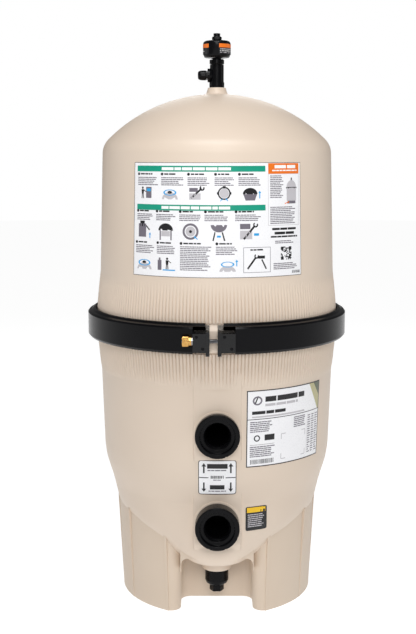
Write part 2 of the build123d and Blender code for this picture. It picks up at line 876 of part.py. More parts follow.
with BuildPart() as vent_cap:
    with BuildSketch(Plane.YZ.offset(vent_seat_x - 2.4)):
        with Locations((0, vent_z)):
            Circle(vent_cap_r)
    extrude(amount=vent_end_x - vent_seat_x + 2.4)
    nose = faces().sort_by(Axis.X)[0]
    fillet(nose.edges(), 4.5)
    with BuildSketch(Plane.YZ.offset(vent_seat_x)):
        with Locations((0, vent_z)):
            Circle(vent_tube_r + post_clear)
    extrude(amount=-16, mode=Mode.SUBTRACT)
finish(vent_cap.part, "vent_cap")

with BuildPart() as vent_seal:
    with BuildSketch(Plane.YZ.offset(vent_seat_x - 0.2)):
        with Locations((0, vent_z)):
            Circle(vent_cap_r - 0.5)
            Circle(vent_tube_r + post_clear, mode=Mode.SUBTRACT)
    extrude(amount=-2.0)
finish(vent_seal.part, "vent_seal")

# ---- ports ------------------------------------------------------------------
for name, height, pad_y, nut_y in (
    ("outlet", outlet_z, outlet_pad_y, outlet_nut_y),
    ("inlet", inlet_z, inlet_pad_y, inlet_nut_y),
):
    seat_y = pad_y - boss_h - gasket_t
    with BuildPart() as fitting:
        with BuildSketch(Plane.XZ.offset(-seat_y)):
            with Locations((0, height)):
                Circle(port_flange_r)
        extrude(amount=seat_y - port_face_y)
        rim = faces().sort_by(Axis.Y)[0].edges()
        fillet(rim, 2.0)
        with BuildSketch(Plane.XZ.offset(-seat_y)):
            with Locations((0, height)):
                Circle(port_barrel_r)
        extrude(amount=seat_y - barrel_end_y)
        with BuildSketch(Plane.XZ.offset(-port_face_y)):
            with Locations((0, height)):
                Circle(port_step_r)
        extrude(amount=-port_step_depth, mode=Mode.SUBTRACT)
        with BuildSketch(Plane.XZ.offset(-port_face_y)):
            with Locations((0, height)):
                Circle(port_bore_r)
        extrude(amount=port_face_y - barrel_end_y, mode=Mode.SUBTRACT)
        with BuildSketch(Plane.XZ.offset(-port_face_y)):
            with Locations((0, height)):
                with PolarLocations(port_flange_r, 8, start_angle=22.5):
                    Rectangle(3.0, 9.0)
        extrude(amount=-5, mode=Mode.SUBTRACT)
    finish(fitting.part, f"{name}_fitting")

    with BuildPart() as gasket:
        with BuildSketch(Plane.XZ.offset(boss_h - pad_y)):
            with Locations((0, height)):
                Circle(port_flange_r - 1.5)
                Circle(port_barrel_r + port_clear, mode=Mode.SUBTRACT)
        extrude(amount=gasket_t)
    finish(gasket.part, f"{name}_gasket")

    with BuildPart() as locknut:
        with BuildSketch(Plane.XZ.offset(-nut_y)):
            with Locations((0, height)):
                RegularPolygon(locknut_r, 8)
                Circle(port_barrel_r + nut_clear, mode=Mode.SUBTRACT)
        extrude(amount=-locknut_t)
    finish(locknut.part, f"{name}_locknut")

# ---- drain ------------------------------------------------------------------
drain_face_z = drain_boss_z - drain_gap
with BuildPart() as drain_plug:
    with BuildSketch(Plane.XZ.offset(-drain_y)):
        with BuildLine():
            Polyline(
                (0, drain_tip_z + 12),
                (0, drain_face_z + 18),
                (drain_thread_r, drain_face_z + 18),
                (drain_thread_r, drain_face_z - drain_seal_d),
                (drain_body_r, drain_face_z - drain_seal_d),
                (drain_body_r, drain_body_z + 11),
                (drain_body_r - 2, drain_body_z + 5),
                (drain_body_r - 7, drain_body_z + 1),
                (drain_tip_r, drain_body_z),
                (drain_tip_r, drain_tip_z + 12),
                close=True,
            )
        make_face()
    revolve(axis=Axis((0, drain_y, 0), (0, 0, 1)))
    with BuildSketch(Plane.XY.offset(drain_tip_z)):
        with Locations((0, drain_y)):
            RegularPolygon(drain_tip_r - 1.5, 6, major_radius=False)
    extrude(amount=drain_body_z - drain_tip_z + 2)
finish(drain_plug.part, "drain_plug")

with BuildPart() as drain_seal:
    with BuildSketch(Plane.XY.offset(drain_face_z - 0.1)):
        with Locations((0, drain_y)):
            Circle(drain_body_r - 1)
            Circle(drain_thread_r + nut_clear, mode=Mode.SUBTRACT)
    extrude(amount=0.2 - drain_seal_d)
finish(drain_seal.part, "drain_seal")

# ---- filter internals -------------------------------------------------------
for index in range(grid_count):
    outer = partial_out_r if index == 0 else grid_out_r
    mid = (grid_in_r + outer) / 2
    bow = grid_bow * (outer - grid_in_r) / (grid_out_r - grid_in_r)
    name = "grid_partial" if index == 0 else f"grid_{index}"
    spine = ThreePointArc((grid_in_r, 0), (mid, bow), (outer, 0), mode=Mode.PRIVATE)
    with BuildPart() as grid:
        with BuildSketch(Plane.XY.offset(grid_low)):
            with Locations(Rotation(0, 0, index * 360 / grid_count - 90)):
                SlotArc(spine, grid_t)
        extrude(amount=grid_high - grid_low)
        reach = min(nipple_ring_r, mid)
        turn = index * 360 / grid_count
        seat_x, seat_y = polar(reach, turn)
        with BuildSketch(Plane.XY.offset(grid_high)):
            with Locations((seat_x, seat_y)):
                Circle(nipple_r - 5)
        extrude(amount=manifold_low - grid_high - 2)
    finish(grid.part, name)

with BuildPart() as manifold:
    with BuildSketch(Plane.XY.offset(manifold_low)):
        Circle(manifold_r)
        with Locations((0, pipe_y)):
            Circle(pipe_r + 12)
    extrude(amount=manifold_high - manifold_low)
    with BuildSketch(Plane.XY.offset(manifold_low)):
        Circle(rod_r + 1)
        with Locations((0, pipe_y)):
            Circle(pipe_r + 1.2)
    extrude(amount=manifold_high - manifold_low - wall, mode=Mode.SUBTRACT)
    with BuildSketch(Plane.XY.offset(manifold_low)):
        Circle(rod_r + 1)
    extrude(amount=manifold_high - manifold_low, mode=Mode.SUBTRACT)
    top = faces().sort_by(Axis.Z)[-1]
    fillet(top.outer_wire().edges(), 6)
finish(manifold.part, "manifold")

with BuildPart() as standpipe:
    with BuildSketch(Plane.XY.offset(pipe_low)):
        with Locations((0, pipe_y)):
            Circle(pipe_r)
            Circle(pipe_r - pipe_t, mode=Mode.SUBTRACT)
    extrude(amount=pipe_high - pipe_low)
finish(standpipe.part, "standpipe")

with BuildPart() as standpipe_seal:
    with BuildSketch(Plane.XZ.offset(-pipe_y)):
        with Locations((pipe_r + 2.6, manifold_low - 2.4)):
            Circle(2.2)
    revolve(axis=Axis((0, pipe_y, 0), (0, 0, 1)))
finish(standpipe_seal.part, "standpipe_seal")

with BuildPart() as outlet_elbow:
    with BuildLine() as run:
        Line((0, barrel_end_y + 0.5, outlet_z), (0, pipe_y - elbow_bend, outlet_z))
        ThreePointArc(
            (0, pipe_y - elbow_bend, outlet_z),
            (
                0,
                pipe_y - elbow_bend * (1 - 1 / slope),
                outlet_z + elbow_bend * (1 - 1 / slope),
            ),
            (0, pipe_y, outlet_z + elbow_bend),
        )
        Line((0, pipe_y, outlet_z + elbow_bend), (0, pipe_y, pipe_low - 0.5))
    with BuildSketch(Plane.XZ.offset(-barrel_end_y - 0.5)):
        with Locations((0, outlet_z)):
            Circle(pipe_r + 2)
            Circle(pipe_r - pipe_t, mode=Mode.SUBTRACT)
    sweep()
finish(outlet_elbow.part, "outlet_elbow")

with BuildPart() as inlet_diffuser:
    with BuildSketch(Plane.XZ.offset(-barrel_end_y - 0.5)):
        with Locations((0, inlet_z)):
            Circle(pipe_r + 2)
    extrude(amount=-60)
    with BuildSketch(Plane.XZ.offset(-barrel_end_y - 0.5)):
        with Locations((0, inlet_z)):
            Circle(pipe_r - pipe_t)
    extrude(amount=-56, mode=Mode.SUBTRACT)
    with BuildSketch(Plane.XY.offset(inlet_z)):
        with Locations((0, barrel_end_y + 33)):
            with GridLocations(0, 14, 1, 3):
                SlotOverall(44, 7)
    extrude(amount=pipe_r + 3, mode=Mode.SUBTRACT)
finish(inlet_diffuser.part, "inlet_diffuser")

with BuildPart() as grid_spacer:
    with BuildSketch(Plane.XY.offset(spacer_z)):
        Circle(spacer_r)
        Circle(spacer_r - 12, mode=Mode.SUBTRACT)
        with PolarLocations(0, grid_count, start_angle=22.5):
            with Locations((spacer_r / 2, 0)):
                Rectangle(spacer_r - 8, 12)
        Circle(34)
        Circle(rod_r + 1, mode=Mode.SUBTRACT)
    extrude(amount=spacer_t)
finish(grid_spacer.part, "grid_spacer")

with BuildPart() as tie_rod:
    with BuildSketch(Plane.XY.offset(rod_low)):
        Circle(rod_r)
    extrude(amount=rod_high - rod_low)
    with BuildSketch(Plane.XY.offset(spacer_z - 9)):
        RegularPolygon(9.5, 6)
    extrude(amount=8.5)
finish(tie_rod.part, "tie_rod")

with BuildPart() as tie_nut:
    with BuildSketch(Plane.XY.offset(manifold_high + 0.2)):
        Circle(16)
        Circle(rod_r + nut_clear, mode=Mode.SUBTRACT)
    extrude(amount=2)
    with BuildSketch(Plane.XY.offset(manifold_high + 2.2)):
        RegularPolygon(9.5, 6)
        Circle(rod_r + nut_clear, mode=Mode.SUBTRACT)
    extrude(amount=9)
finish(tie_nut.part, "tie_nut")

with BuildPart() as bleed_tube:
    with BuildSketch(Plane.XY.offset(manifold_high + 0.2)):
        with Locations((bleed_x, 0)):
            Circle(bleed_r)
            Circle(bleed_r - 1.4, mode=Mode.SUBTRACT)
    extrude(amount=bleed_top - manifold_high)
finish(bleed_tube.part, "bleed_tube")

with BuildPart() as bleed_screen:
    with BuildSketch(Plane.XY.offset(bleed_top - 16)):
        with Locations((bleed_x, 0)):
            Circle(screen_r)
            Circle(bleed_r + nut_clear, mode=Mode.SUBTRACT)
    extrude(amount=32)
finish(bleed_screen.part, "bleed_screen")

# ---- labels -----------------------------------------------------------------
label_turn = 42.0
label_low_z = 762.0
label_high_z = 1000.0
rating_start = 13.5
rating_end = 58.0
rating_low_z = 350.6
rating_high_z = 520.0
port_label_half = 41.0
port_label_low = 289.0
port_label_high = 369.0
caution_low_x = 62.0
caution_high_x = 109.0
caution_low_z = 201.0
caution_high_z = 255.0


def lid_radius(z):
    return lid_high_r + (lid_low_r - lid_high_r) * (knuckle_z - z) / (knuckle_z - lid_low_z)


def body_radius(z):
    span = split_z - root_z - body_low_z
    return body_low_r + (root_r - body_low_r) * (z - body_low_z) / span


def wrapped(radius, low, high, start, end):
    # thin film on a conical wall
    with BuildPart(mode=Mode.PRIVATE) as shape:
        with BuildSketch(Plane.XZ):
            with BuildLine():
                Polyline(
                    (radius(low) + film_gap, low),
                    (radius(low) + film_gap + film, low),
                    (radius(high) + film_gap + film, high),
                    (radius(high) + film_gap, high),
                    close=True,
                )
            make_face()
        revolve(axis=Axis.Z)
        with BuildSketch():
            with BuildLine():
                Polyline(*sector(2 * cover_r, start, end), close=True)
            make_face()
        extrude(amount=neck_z, mode=Mode.INTERSECT)
    return shape.part


with BuildPart() as label_instruction:
    add(wrapped(lid_radius, label_low_z, label_high_z, -label_turn, label_turn))
finish(label_instruction.part, "label_instruction")

with BuildPart() as label_rating:
    add(wrapped(body_radius, rating_low_z, rating_high_z, rating_start, rating_end))
finish(label_rating.part, "label_rating")


def bowl_patch(low_x, high_x, low_z, high_z):
    # thin film that follows the bowl and the wall above it
    with BuildPart(mode=Mode.PRIVATE) as shape:
        add(bowl_solid(film_gap + film, sump_low_z))
        with BuildSketch(Plane.XY.offset(body_low_z)):
            Circle(body_low_r + film_gap + film)
        extrude(amount=40)
        add(bowl_solid(film_gap, sump_low_z), mode=Mode.SUBTRACT)
        with BuildSketch(Plane.XY.offset(body_low_z)):
            Circle(body_low_r + film_gap)
        extrude(amount=40, mode=Mode.SUBTRACT)
        with BuildSketch(Plane.XZ):
            with Locations(((low_x + high_x) / 2, (low_z + high_z) / 2)):
                RectangleRounded(high_x - low_x, high_z - low_z, 4)
        extrude(amount=2 * cover_r, mode=Mode.INTERSECT)
    return shape.part


with BuildPart() as label_caution:
    add(bowl_patch(caution_low_x, caution_high_x, caution_low_z, caution_high_z))
finish(label_caution.part, "label_caution")

with BuildPart() as label_ports:
    add(bowl_patch(-port_label_half, port_label_half, port_label_low, port_label_high))
    add(tank_bottom.part, mode=Mode.SUBTRACT)
finish(label_ports.part, "label_ports")

with BuildPart() as label_knob:
    with BuildSketch(Plane.XY.offset(knob_low + 7)):
        Circle(knob_r + film_gap + film)
        Circle(knob_r + film_gap, mode=Mode.SUBTRACT)
    extrude(amount=knob_high - knob_low - 16)
    with BuildSketch():
        with BuildLine():
            Polyline(*sector(2 * cover_r, 8, 118), close=True)
        make_face()
        with BuildLine():
            Polyline(*sector(2 * cover_r, -140, -35), close=True)
        make_face()
    extrude(amount=neck_z + cover_r, mode=Mode.INTERSECT)
finish(label_knob.part, "label_knob")
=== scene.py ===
import math

import bpy
import numpy as np
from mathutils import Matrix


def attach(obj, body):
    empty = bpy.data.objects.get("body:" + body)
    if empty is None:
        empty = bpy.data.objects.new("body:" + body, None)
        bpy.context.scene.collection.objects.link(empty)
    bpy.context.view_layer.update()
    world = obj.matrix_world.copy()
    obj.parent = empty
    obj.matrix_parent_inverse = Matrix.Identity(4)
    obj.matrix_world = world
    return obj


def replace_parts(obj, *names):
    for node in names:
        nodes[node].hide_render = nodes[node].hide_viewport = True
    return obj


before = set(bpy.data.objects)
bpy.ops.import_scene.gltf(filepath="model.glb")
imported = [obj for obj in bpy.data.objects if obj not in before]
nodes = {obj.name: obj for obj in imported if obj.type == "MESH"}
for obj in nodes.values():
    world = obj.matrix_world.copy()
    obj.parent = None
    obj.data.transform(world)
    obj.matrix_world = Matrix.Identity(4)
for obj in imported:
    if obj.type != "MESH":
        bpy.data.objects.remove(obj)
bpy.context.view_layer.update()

mm = 0.001
print("frame loaded with", len(nodes), "nodes")


# ---- finishes
def toLinear(hexText):
    # sRGB to linear: ((s + 0.055) / 1.055) ^ 2.4, and a straight line near black
    s = np.array([int(hexText[i:i + 2], 16) / 255 for i in (1, 3, 5)])
    return (*np.where(s > 0.04045, ((s + 0.055) / 1.055) ** 2.4, s / 12.92).tolist(), 1.0)


def addNode(tree, kind, inputs=(), **settings):
    node = tree.nodes.new("ShaderNode" + kind)
    for key, value in settings.items():
        setattr(node, key, value)
    for key, value in dict(inputs).items():
        if isinstance(value, bpy.types.NodeSocket):
            tree.links.new(value, node.inputs[key])
        else:
            node.inputs[key].default_value = value
    return node


def grained(name, finish):
    # two noises on Object coordinates: a slow one drifts colour and gloss, a fine one is the grain
    material = bpy.data.materials.new(name)
    material.use_nodes = True
    tree = material.node_tree
    tree.nodes.clear()
    place = addNode(tree, "TexCoord").outputs["Object"]
    stretched = addNode(tree, "Mapping", {"Vector": place, "Scale": finish.get("stretch", (1, 1, 1))})
    drift = addNode(tree, "TexNoise", {"Vector": place, "Scale": 1 / (finish["driftMm"] * mm), "Detail": 3.0})
    grain = addNode(tree, "TexNoise", {"Vector": stretched.outputs[0], "Scale": 1 / (finish["grainMm"] * mm),
                                       "Detail": 2.0})
    mixed = addNode(tree, "MixRGB", {"Fac": drift.outputs["Fac"], "Color1": toLinear(finish["dark"]),
                                     "Color2": toLinear(finish["light"])})
    gloss = addNode(tree, "MapRange", {"Value": grain.outputs["Fac"], "From Min": 0.3, "From Max": 0.7,
                                       "To Min": finish["rough"][0], "To Max": finish["rough"][1]})
    relief = addNode(tree, "Bump", {"Height": grain.outputs["Fac"], "Strength": finish["bump"],
                                    "Distance": finish["reliefMm"] * mm})
    surface = addNode(tree, "BsdfPrincipled", {
        "Base Color": mixed.outputs["Color"], "Roughness": gloss.outputs["Result"],
        "Normal": relief.outputs["Normal"], "Metallic": finish.get("metal", 0.0),
        **finish.get("fixed", {})})
    addNode(tree, "OutputMaterial", {"Surface": surface.outputs[0]})
    return material


finishes = {
    # injection-moulded glass-filled polypropylene: satin, faint fibre grain and slow flow tone
    "shellBeige": grained("mouldedGlassFilledShell", {
        "light": "#E1D1C0", "dark": "#D9C7B5", "driftMm": 180, "grainMm": 1.6, "reliefMm": 0.12,
        "bump": 0.10, "rough": (0.40, 0.50), "fixed": {"IOR": 1.49}}),
    # the same resin from a textured tool, a little drier
    "baseBeige": grained("mouldedTubBase", {
        "light": "#DDCCB9", "dark": "#D4C1AD", "driftMm": 140, "grainMm": 1.4, "reliefMm": 0.15,
        "bump": 0.14, "rough": (0.46, 0.58), "fixed": {"IOR": 1.49}}),
    # moulded black ABS, glossy with a light orange peel
    "blackMoulding": grained("mouldedBlackFitting", {
        "light": "#0E0E10", "dark": "#08080A", "driftMm": 30, "grainMm": 2.2, "reliefMm": 0.05,
        "bump": 0.12, "rough": (0.20, 0.32), "fixed": {"Specular IOR Level": 0.12, "IOR": 1.50}}),
    # black polypropylene clamp cover, glossy and slightly wavy
    "blackCover": grained("mouldedClampCover", {
        "light": "#0F0F12", "dark": "#0A0A0C", "driftMm": 60, "grainMm": 3.5, "reliefMm": 0.08,
        "bump": 0.10, "rough": (0.16, 0.26), "fixed": {"Specular IOR Level": 0.12, "IOR": 1.50}}),
    # powder-coated cast lug: glossy skin with soft lumps
    "blackCast": grained("coatedCastLug", {
        "light": "#0E0E10", "dark": "#09090B", "driftMm": 12, "grainMm": 1.8, "reliefMm": 0.10,
        "bump": 0.18, "rough": (0.18, 0.30),
        "fixed": {"Specular IOR Level": 0.30, "IOR": 1.52, "Coat Weight": 0.15}}),
    # glass-filled nylon valve, sharp moulded edges, medium gloss
    "valvePlastic": grained("mouldedValveNylon", {
        "light": "#101012", "dark": "#0A0A0C", "driftMm": 15, "grainMm": 0.9, "reliefMm": 0.05,
        "bump": 0.12, "rough": (0.18, 0.30), "fixed": {"Specular IOR Level": 0.12, "IOR": 1.53}}),
    # rolled stainless strip: nearly a mirror, faint lines along the roll; its colour is darkened well below bright
    # steel as a painted dark reflection
    "bandSteelPaintedDark": grained("stainlessBandPaintedDarkReflection", {
        "light": "#6A6661", "dark": "#54504C", "driftMm": 40, "grainMm": 1.2, "stretch": (1, 1, 12),
        "reliefMm": 0.02, "bump": 0.10, "rough": (0.14, 0.24), "metal": 1.0}),
    # bright zinc plate on cold-headed steel
    "zincSteel": grained("zincPlatedSteel", {
        "light": "#C9C9CC", "dark": "#A9A9AE", "driftMm": 6, "grainMm": 0.6, "reliefMm": 0.03,
        "bump": 0.15, "rough": (0.22, 0.36), "metal": 1.0}),
    # turned free-cutting brass: warm, fine lathe lines
    "brass": grained("turnedBrass", {
        "light": "#D9B06A", "dark": "#B98546", "driftMm": 5, "grainMm": 0.5, "stretch": (8, 1, 1),
        "reliefMm": 0.03, "bump": 0.15, "rough": (0.18, 0.30), "metal": 1.0}),
    # cured black rubber
    "rubber": grained("curedRubber", {
        "light": "#1C1C1D", "dark": "#131314", "driftMm": 8, "grainMm": 0.8, "reliefMm": 0.10,
        "bump": 0.30, "rough": (0.55, 0.70), "fixed": {"IOR": 1.52}}),
    # woven polypropylene filter cloth
    "gridCloth": grained("wovenFilterCloth", {
        "light": "#E8E9E4", "dark": "#D4D6D0", "driftMm": 30, "grainMm": 1.0, "reliefMm": 0.30,
        "bump": 0.50, "rough": (0.70, 0.85), "fixed": {"Sheen Weight": 0.3}}),
    # natural moulded ABS inside the tank
    "whiteMoulding": grained("mouldedInnerParts", {
        "light": "#E2E1DC", "dark": "#D6D4CD", "driftMm": 40, "grainMm": 1.2, "reliefMm": 0.06,
        "bump": 0.10, "rough": (0.35, 0.45), "fixed": {"IOR": 1.50}}),
    # gloss vinyl label stock, faintly dimpled by the adhesive
    "labelVinyl": grained("whiteVinylLabel", {
        "light": "#F6F6F8", "dark": "#F0F0F3", "driftMm": 30, "grainMm": 2.5, "reliefMm": 0.03,
        "bump": 0.08, "rough": (0.24, 0.34), "fixed": {"IOR": 1.47}}),
}


def ink(name, light, dark):
    # screen-printed ink: flat colour, a touch drier than the film
    return grained(name, {"light": light, "dark": dark, "driftMm": 12, "grainMm": 0.8, "reliefMm": 0.01,
                          "bump": 0.05, "rough": (0.30, 0.42), "fixed": {"IOR": 1.48}})


inks = {
    "black": ink("inkBlack", "#17161A", "#100F13"),
    "grey": ink("inkGreyText", "#77727C", "#6A6570"),
    "pale": ink("inkPaleGrey", "#C6C3C7", "#BBB8BD"),
    "white": ink("inkWhite", "#FAFAFA", "#F2F2F2"),
    "green": ink("inkGreen", "#0A9E82", "#078F74"),
    "orange": ink("inkOrange", "#F07A1E", "#E36C12"),
    "blue": ink("inkBlue", "#2FA9E6", "#2298D8"),
    "olive": ink("inkOlive", "#C2BC93", "#B6B085"),
    "moss": ink("inkMoss", "#6D7260", "#5F6453"),
    "yellow": ink("inkYellow", "#F6C81A", "#EDBC0C"),
}
print("finishes made:", len(finishes) + len(inks))


# ---- surfaces
def gridFaces(rows, columns, loopRows):
    # quads of a rows x columns grid whose columns close on themselves
    r, c = np.meshgrid(np.arange(rows if loopRows else rows - 1), np.arange(columns), indexing="ij")
    rNext, cNext = (r + 1) % rows, (c + 1) % columns
    quads = np.stack([r * columns + c, r * columns + cNext, rNext * columns + cNext, rNext * columns + c], -1)
    return quads.reshape(-1, 4)


def closedGrid(points, loopRows):
    # a solid from a grid: end rows are capped unless the rows loop; turned outward by its signed volume,
    # the sum of a . (b x c) / 6 over the triangles
    rows, columns = points.shape[:2]
    flat = points.reshape(-1, 3)
    quads = gridFaces(rows, columns, loopRows)
    centre = flat.mean(0)
    a, b, c, d = (flat[quads[:, i]] - centre for i in range(4))
    volume = (np.einsum("ij,ij->i", a, np.cross(b, c)) + np.einsum("ij,ij->i", a, np.cross(c, d))).sum()
    if not loopRows:
        for row, sign in ((points[0], -1), (points[-1], 1)):
            p = row - centre
            fan = np.cross(p, np.roll(p, -1, 0)).sum(0)
            volume += sign * np.dot(p.mean(0), fan)
    faces = quads.tolist()
    if not loopRows:
        faces.append(list(range(columns))[::-1])
        faces.append(list(range((rows - 1) * columns, rows * columns)))
    if volume < 0:
        faces = [face[::-1] for face in faces]
    return flat, faces


def makePiece(name, points, faces, body, materials, choice=None, sharp=38):
    mesh = bpy.data.meshes.new(name)
    mesh.from_pydata((np.asarray(points) * mm).tolist(), [], faces)
    for material in materials:
        mesh.materials.append(material)
    if choice is not None:
        mesh.polygons.foreach_set("material_index", np.asarray(choice, np.int32))
    mesh.shade_smooth()
    mesh.set_sharp_from_angle(angle=math.radians(sharp))
    piece = bpy.data.objects.new(name, mesh)
    bpy.context.scene.collection.objects.link(piece)
    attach(piece, body)
    return piece


def softProfile(corners, steps=5, closed=True):
    # every corner (a, b, cut) is cut back along both sides and bridged by a parabola:
    # (1 - t)^2 before + 2 t (1 - t) corner + t^2 after
    data = np.array(corners, float)
    point, cut = data[:, :2], data[:, 2]
    toPrev, toNext = np.roll(point, 1, 0) - point, np.roll(point, -1, 0) - point
    prevLength = np.linalg.norm(toPrev, axis=1)
    nextLength = np.linalg.norm(toNext, axis=1)
    before = point + toPrev * (np.minimum(cut, 0.49 * prevLength) / prevLength)[:, None]
    after = point + toNext * (np.minimum(cut, 0.49 * nextLength) / nextLength)[:, None]
    t = np.linspace(0, 1, steps)[None, :, None]
    curve = (1 - t) ** 2 * before[:, None] + 2 * t * (1 - t) * point[:, None] + t ** 2 * after[:, None]
    if not closed:
        curve[0], curve[-1] = point[0], point[-1]
    flat = curve.reshape(-1, 2)
    keep = np.r_[True, np.linalg.norm(np.diff(flat, axis=0), axis=1) > 1e-4]
    return flat[keep]


upright = ((1, 0, 0), (0, 1, 0), (0, 0, 1))
forward = ((1, 0, 0), (0, 0, 1), (0, -1, 0))
leftward = ((0, 1, 0), (0, 0, 1), (-1, 0, 0))


def turned(name, profile, centre, axes, body, finish, ring=True, count=96, shape=None, sharp=38):
    # profile (radius, along) carried round an axis: centre + radius (u cos + v sin) + along w
    profile = np.asarray(profile, float)
    u, v, w = np.array(axes, float)
    turn = np.linspace(0, 2 * np.pi, count, endpoint=False)[None, :]
    radius, along = profile[:, :1] + 0 * turn, profile[:, 1:] + 0 * turn
    if shape is not None:
        radius, along = shape(radius, along, turn)
    points = (np.array(centre, float) + radius[..., None] * (np.cos(turn)[..., None] * u
              + np.sin(turn)[..., None] * v) + along[..., None] * w)
    flat, faces = closedGrid(points, ring)
    return makePiece(name, flat, faces, body, [finish], sharp=sharp)


def curveThrough(x, knots, values):
    # cubic through the knots, with the slope at a knot taken from its two neighbours
    knots, values = np.asarray(knots, float), np.asarray(values, float)
    slope = np.gradient(values, knots)
    i = np.clip(np.searchsorted(knots, x) - 1, 0, len(knots) - 2)
    step = knots[i + 1] - knots[i]
    t = np.clip((x - knots[i]) / step, 0, 1)
    return ((2 * t ** 3 - 3 * t ** 2 + 1) * values[i] + (t ** 3 - 2 * t ** 2 + t) * step * slope[i]
            + (3 * t ** 2 - 2 * t ** 3) * values[i + 1] + (t ** 3 - t ** 2) * step * slope[i + 1])


def smoothStep(low, high, x):
    t = np.clip((x - low) / (high - low), 0, 1)
    return t * t * (3 - 2 * t)


def softMax(a, b, width):
    # the larger of two, rounded over the width where they cross
    near = np.maximum(width - np.abs(a - b), 0) / width
    return np.maximum(a, b) + near ** 2 * width / 4


# ---- tank lid
lidSize = {"splitZ": 634.0, "lowZ": 753.0, "lowR": 268.0, "highR": 260.0, "knuckleR": 47.0, "crownR": 350.0,
           "crownZ": 801.0, "neckR": 20.2, "neckZ": 1165.0, "wall": 8.0, "columns": 240, "flangeR": 285.0,
           "flangeZ": 653.0, "rootR": 272.5, "rootZ": 665.5, "innerR": 264.5, "innerHighR": 260.0}
knuckleC = lidSize["highR"] - lidSize["knuckleR"]
knuckleZ = lidSize["crownZ"] + math.sqrt((lidSize["crownR"] - lidSize["knuckleR"]) ** 2 - knuckleC ** 2)
crownTurn = math.atan2(knuckleZ - lidSize["crownZ"], knuckleC)


def lidRadius(z):
    # straight drafted wall between the flutes and the shoulder
    return lidSize["highR"] + (lidSize["lowR"] - lidSize["highR"]) * (knuckleZ - z) / (knuckleZ - lidSize["lowZ"])


def lidArc(inset):
    # shoulder arc, then crown arc up to the neck
    shoulder = np.linspace(0, crownTurn, 16)
    small = lidSize["knuckleR"] - inset
    bend = np.stack([knuckleC + small * np.cos(shoulder), knuckleZ + small * np.sin(shoulder)], -1)
    big = lidSize["crownR"] - inset
    crown = np.linspace(crownTurn, math.acos((lidSize["neckR"] + 11.0) / big), 26)[1:]
    top = np.stack([big * np.cos(crown), lidSize["crownZ"] + big * np.sin(crown)], -1)
    return np.concatenate([bend, top])


outerArc, innerArc = lidArc(0), lidArc(lidSize["wall"])
splitZ, rootZ, rootR, lowZ = (lidSize[key] for key in ("splitZ", "rootZ", "rootR", "lowZ"))
wallZ = np.linspace(rootZ, knuckleZ, 22)[:-1]
wallR = np.where(wallZ < lowZ, np.interp(wallZ, [rootZ, lowZ], [rootR, lidSize["lowR"]]), lidRadius(wallZ))
flange = softProfile([(272.0, splitZ, 0), (lidSize["flangeR"], splitZ, 0.8),
                      (lidSize["flangeR"], lidSize["flangeZ"], 2.5), (rootR, rootZ, 1.5)], closed=False)
neckFoot = outerArc[-1]
neck = softProfile([tuple(neckFoot) + (0,), (neckFoot[0] - 7.0, neckFoot[1] + 1.6, 5.0),
                    (lidSize["neckR"] + 0.9, neckFoot[1] + 11.0, 3.0), (lidSize["neckR"], lidSize["neckZ"], 1.6),
                    (13.0, lidSize["neckZ"], 0.5), (12.9, innerArc[-1, 1] + 3, 0)], closed=False)
innerWall = np.array([[lidSize["innerR"], splitZ], [lidSize["innerR"], rootZ], [lidSize["innerHighR"], lowZ]])
lidProfile = np.concatenate([flange, np.stack([wallR, wallZ], -1)[1:], outerArc, neck[1:],
                             innerArc[::-1], innerWall[::-1]])
lidShell = turned("lidShell", lidProfile, (0, 0, 0), upright, "tank", finishes["shellBeige"],
                  count=lidSize["columns"], sharp=50)
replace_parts(lidShell, "tank_lid")
print("lid turned,", len(lidProfile), "rows")

# ---- flutes
fluteSize = {"count": 220, "samples": 8, "sink": 0.35}


def fluteRing(name, heights, wallRadii, crests):
    # thin ring over the wall: radius = wall - sink + (crest + sink) * |cos(pi * turn / pitch)| ^ 0.45,
    # so round crests meet in sharp grooves and sink into the wall at their ends
    steps = fluteSize["count"] * fluteSize["samples"]
    turn = np.linspace(0, 2 * np.pi, steps, endpoint=False)
    wave = np.abs(np.cos(turn * fluteSize["count"] / 2)) ** 0.45
    proud = (crests[:, None] + fluteSize["sink"]) * (0.12 + 0.88 * wave[None, :])
    outer = wallRadii[:, None] - fluteSize["sink"] + proud
    inner = np.repeat((wallRadii - 1.5)[::-1, None], steps, 1)[[0, -1]]
    radius = np.concatenate([outer, inner])
    z = np.concatenate([heights, heights[::-1][[0, -1]]])[:, None] + 0 * turn
    points = np.stack([radius * np.sin(turn), -radius * np.cos(turn), z], -1)
    flat, faces = closedGrid(points, True)
    return makePiece(name, flat, faces, "tank", [finishes["shellBeige"]], sharp=80)


lidFluteZ = np.linspace(667.0, 757.0, 16)
lidFluteWall = np.interp(lidFluteZ, [665.5, lidSize["lowZ"], 800], [272.5, lidSize["lowR"], lidRadius(800)])
lidCrest = np.interp(lidFluteZ, [665, 683, 707, 730, 757], [4.3, 4.1, 2.9, 1.5, -0.36])
fluteRing("lidFlutes", lidFluteZ, lidFluteWall, lidCrest)

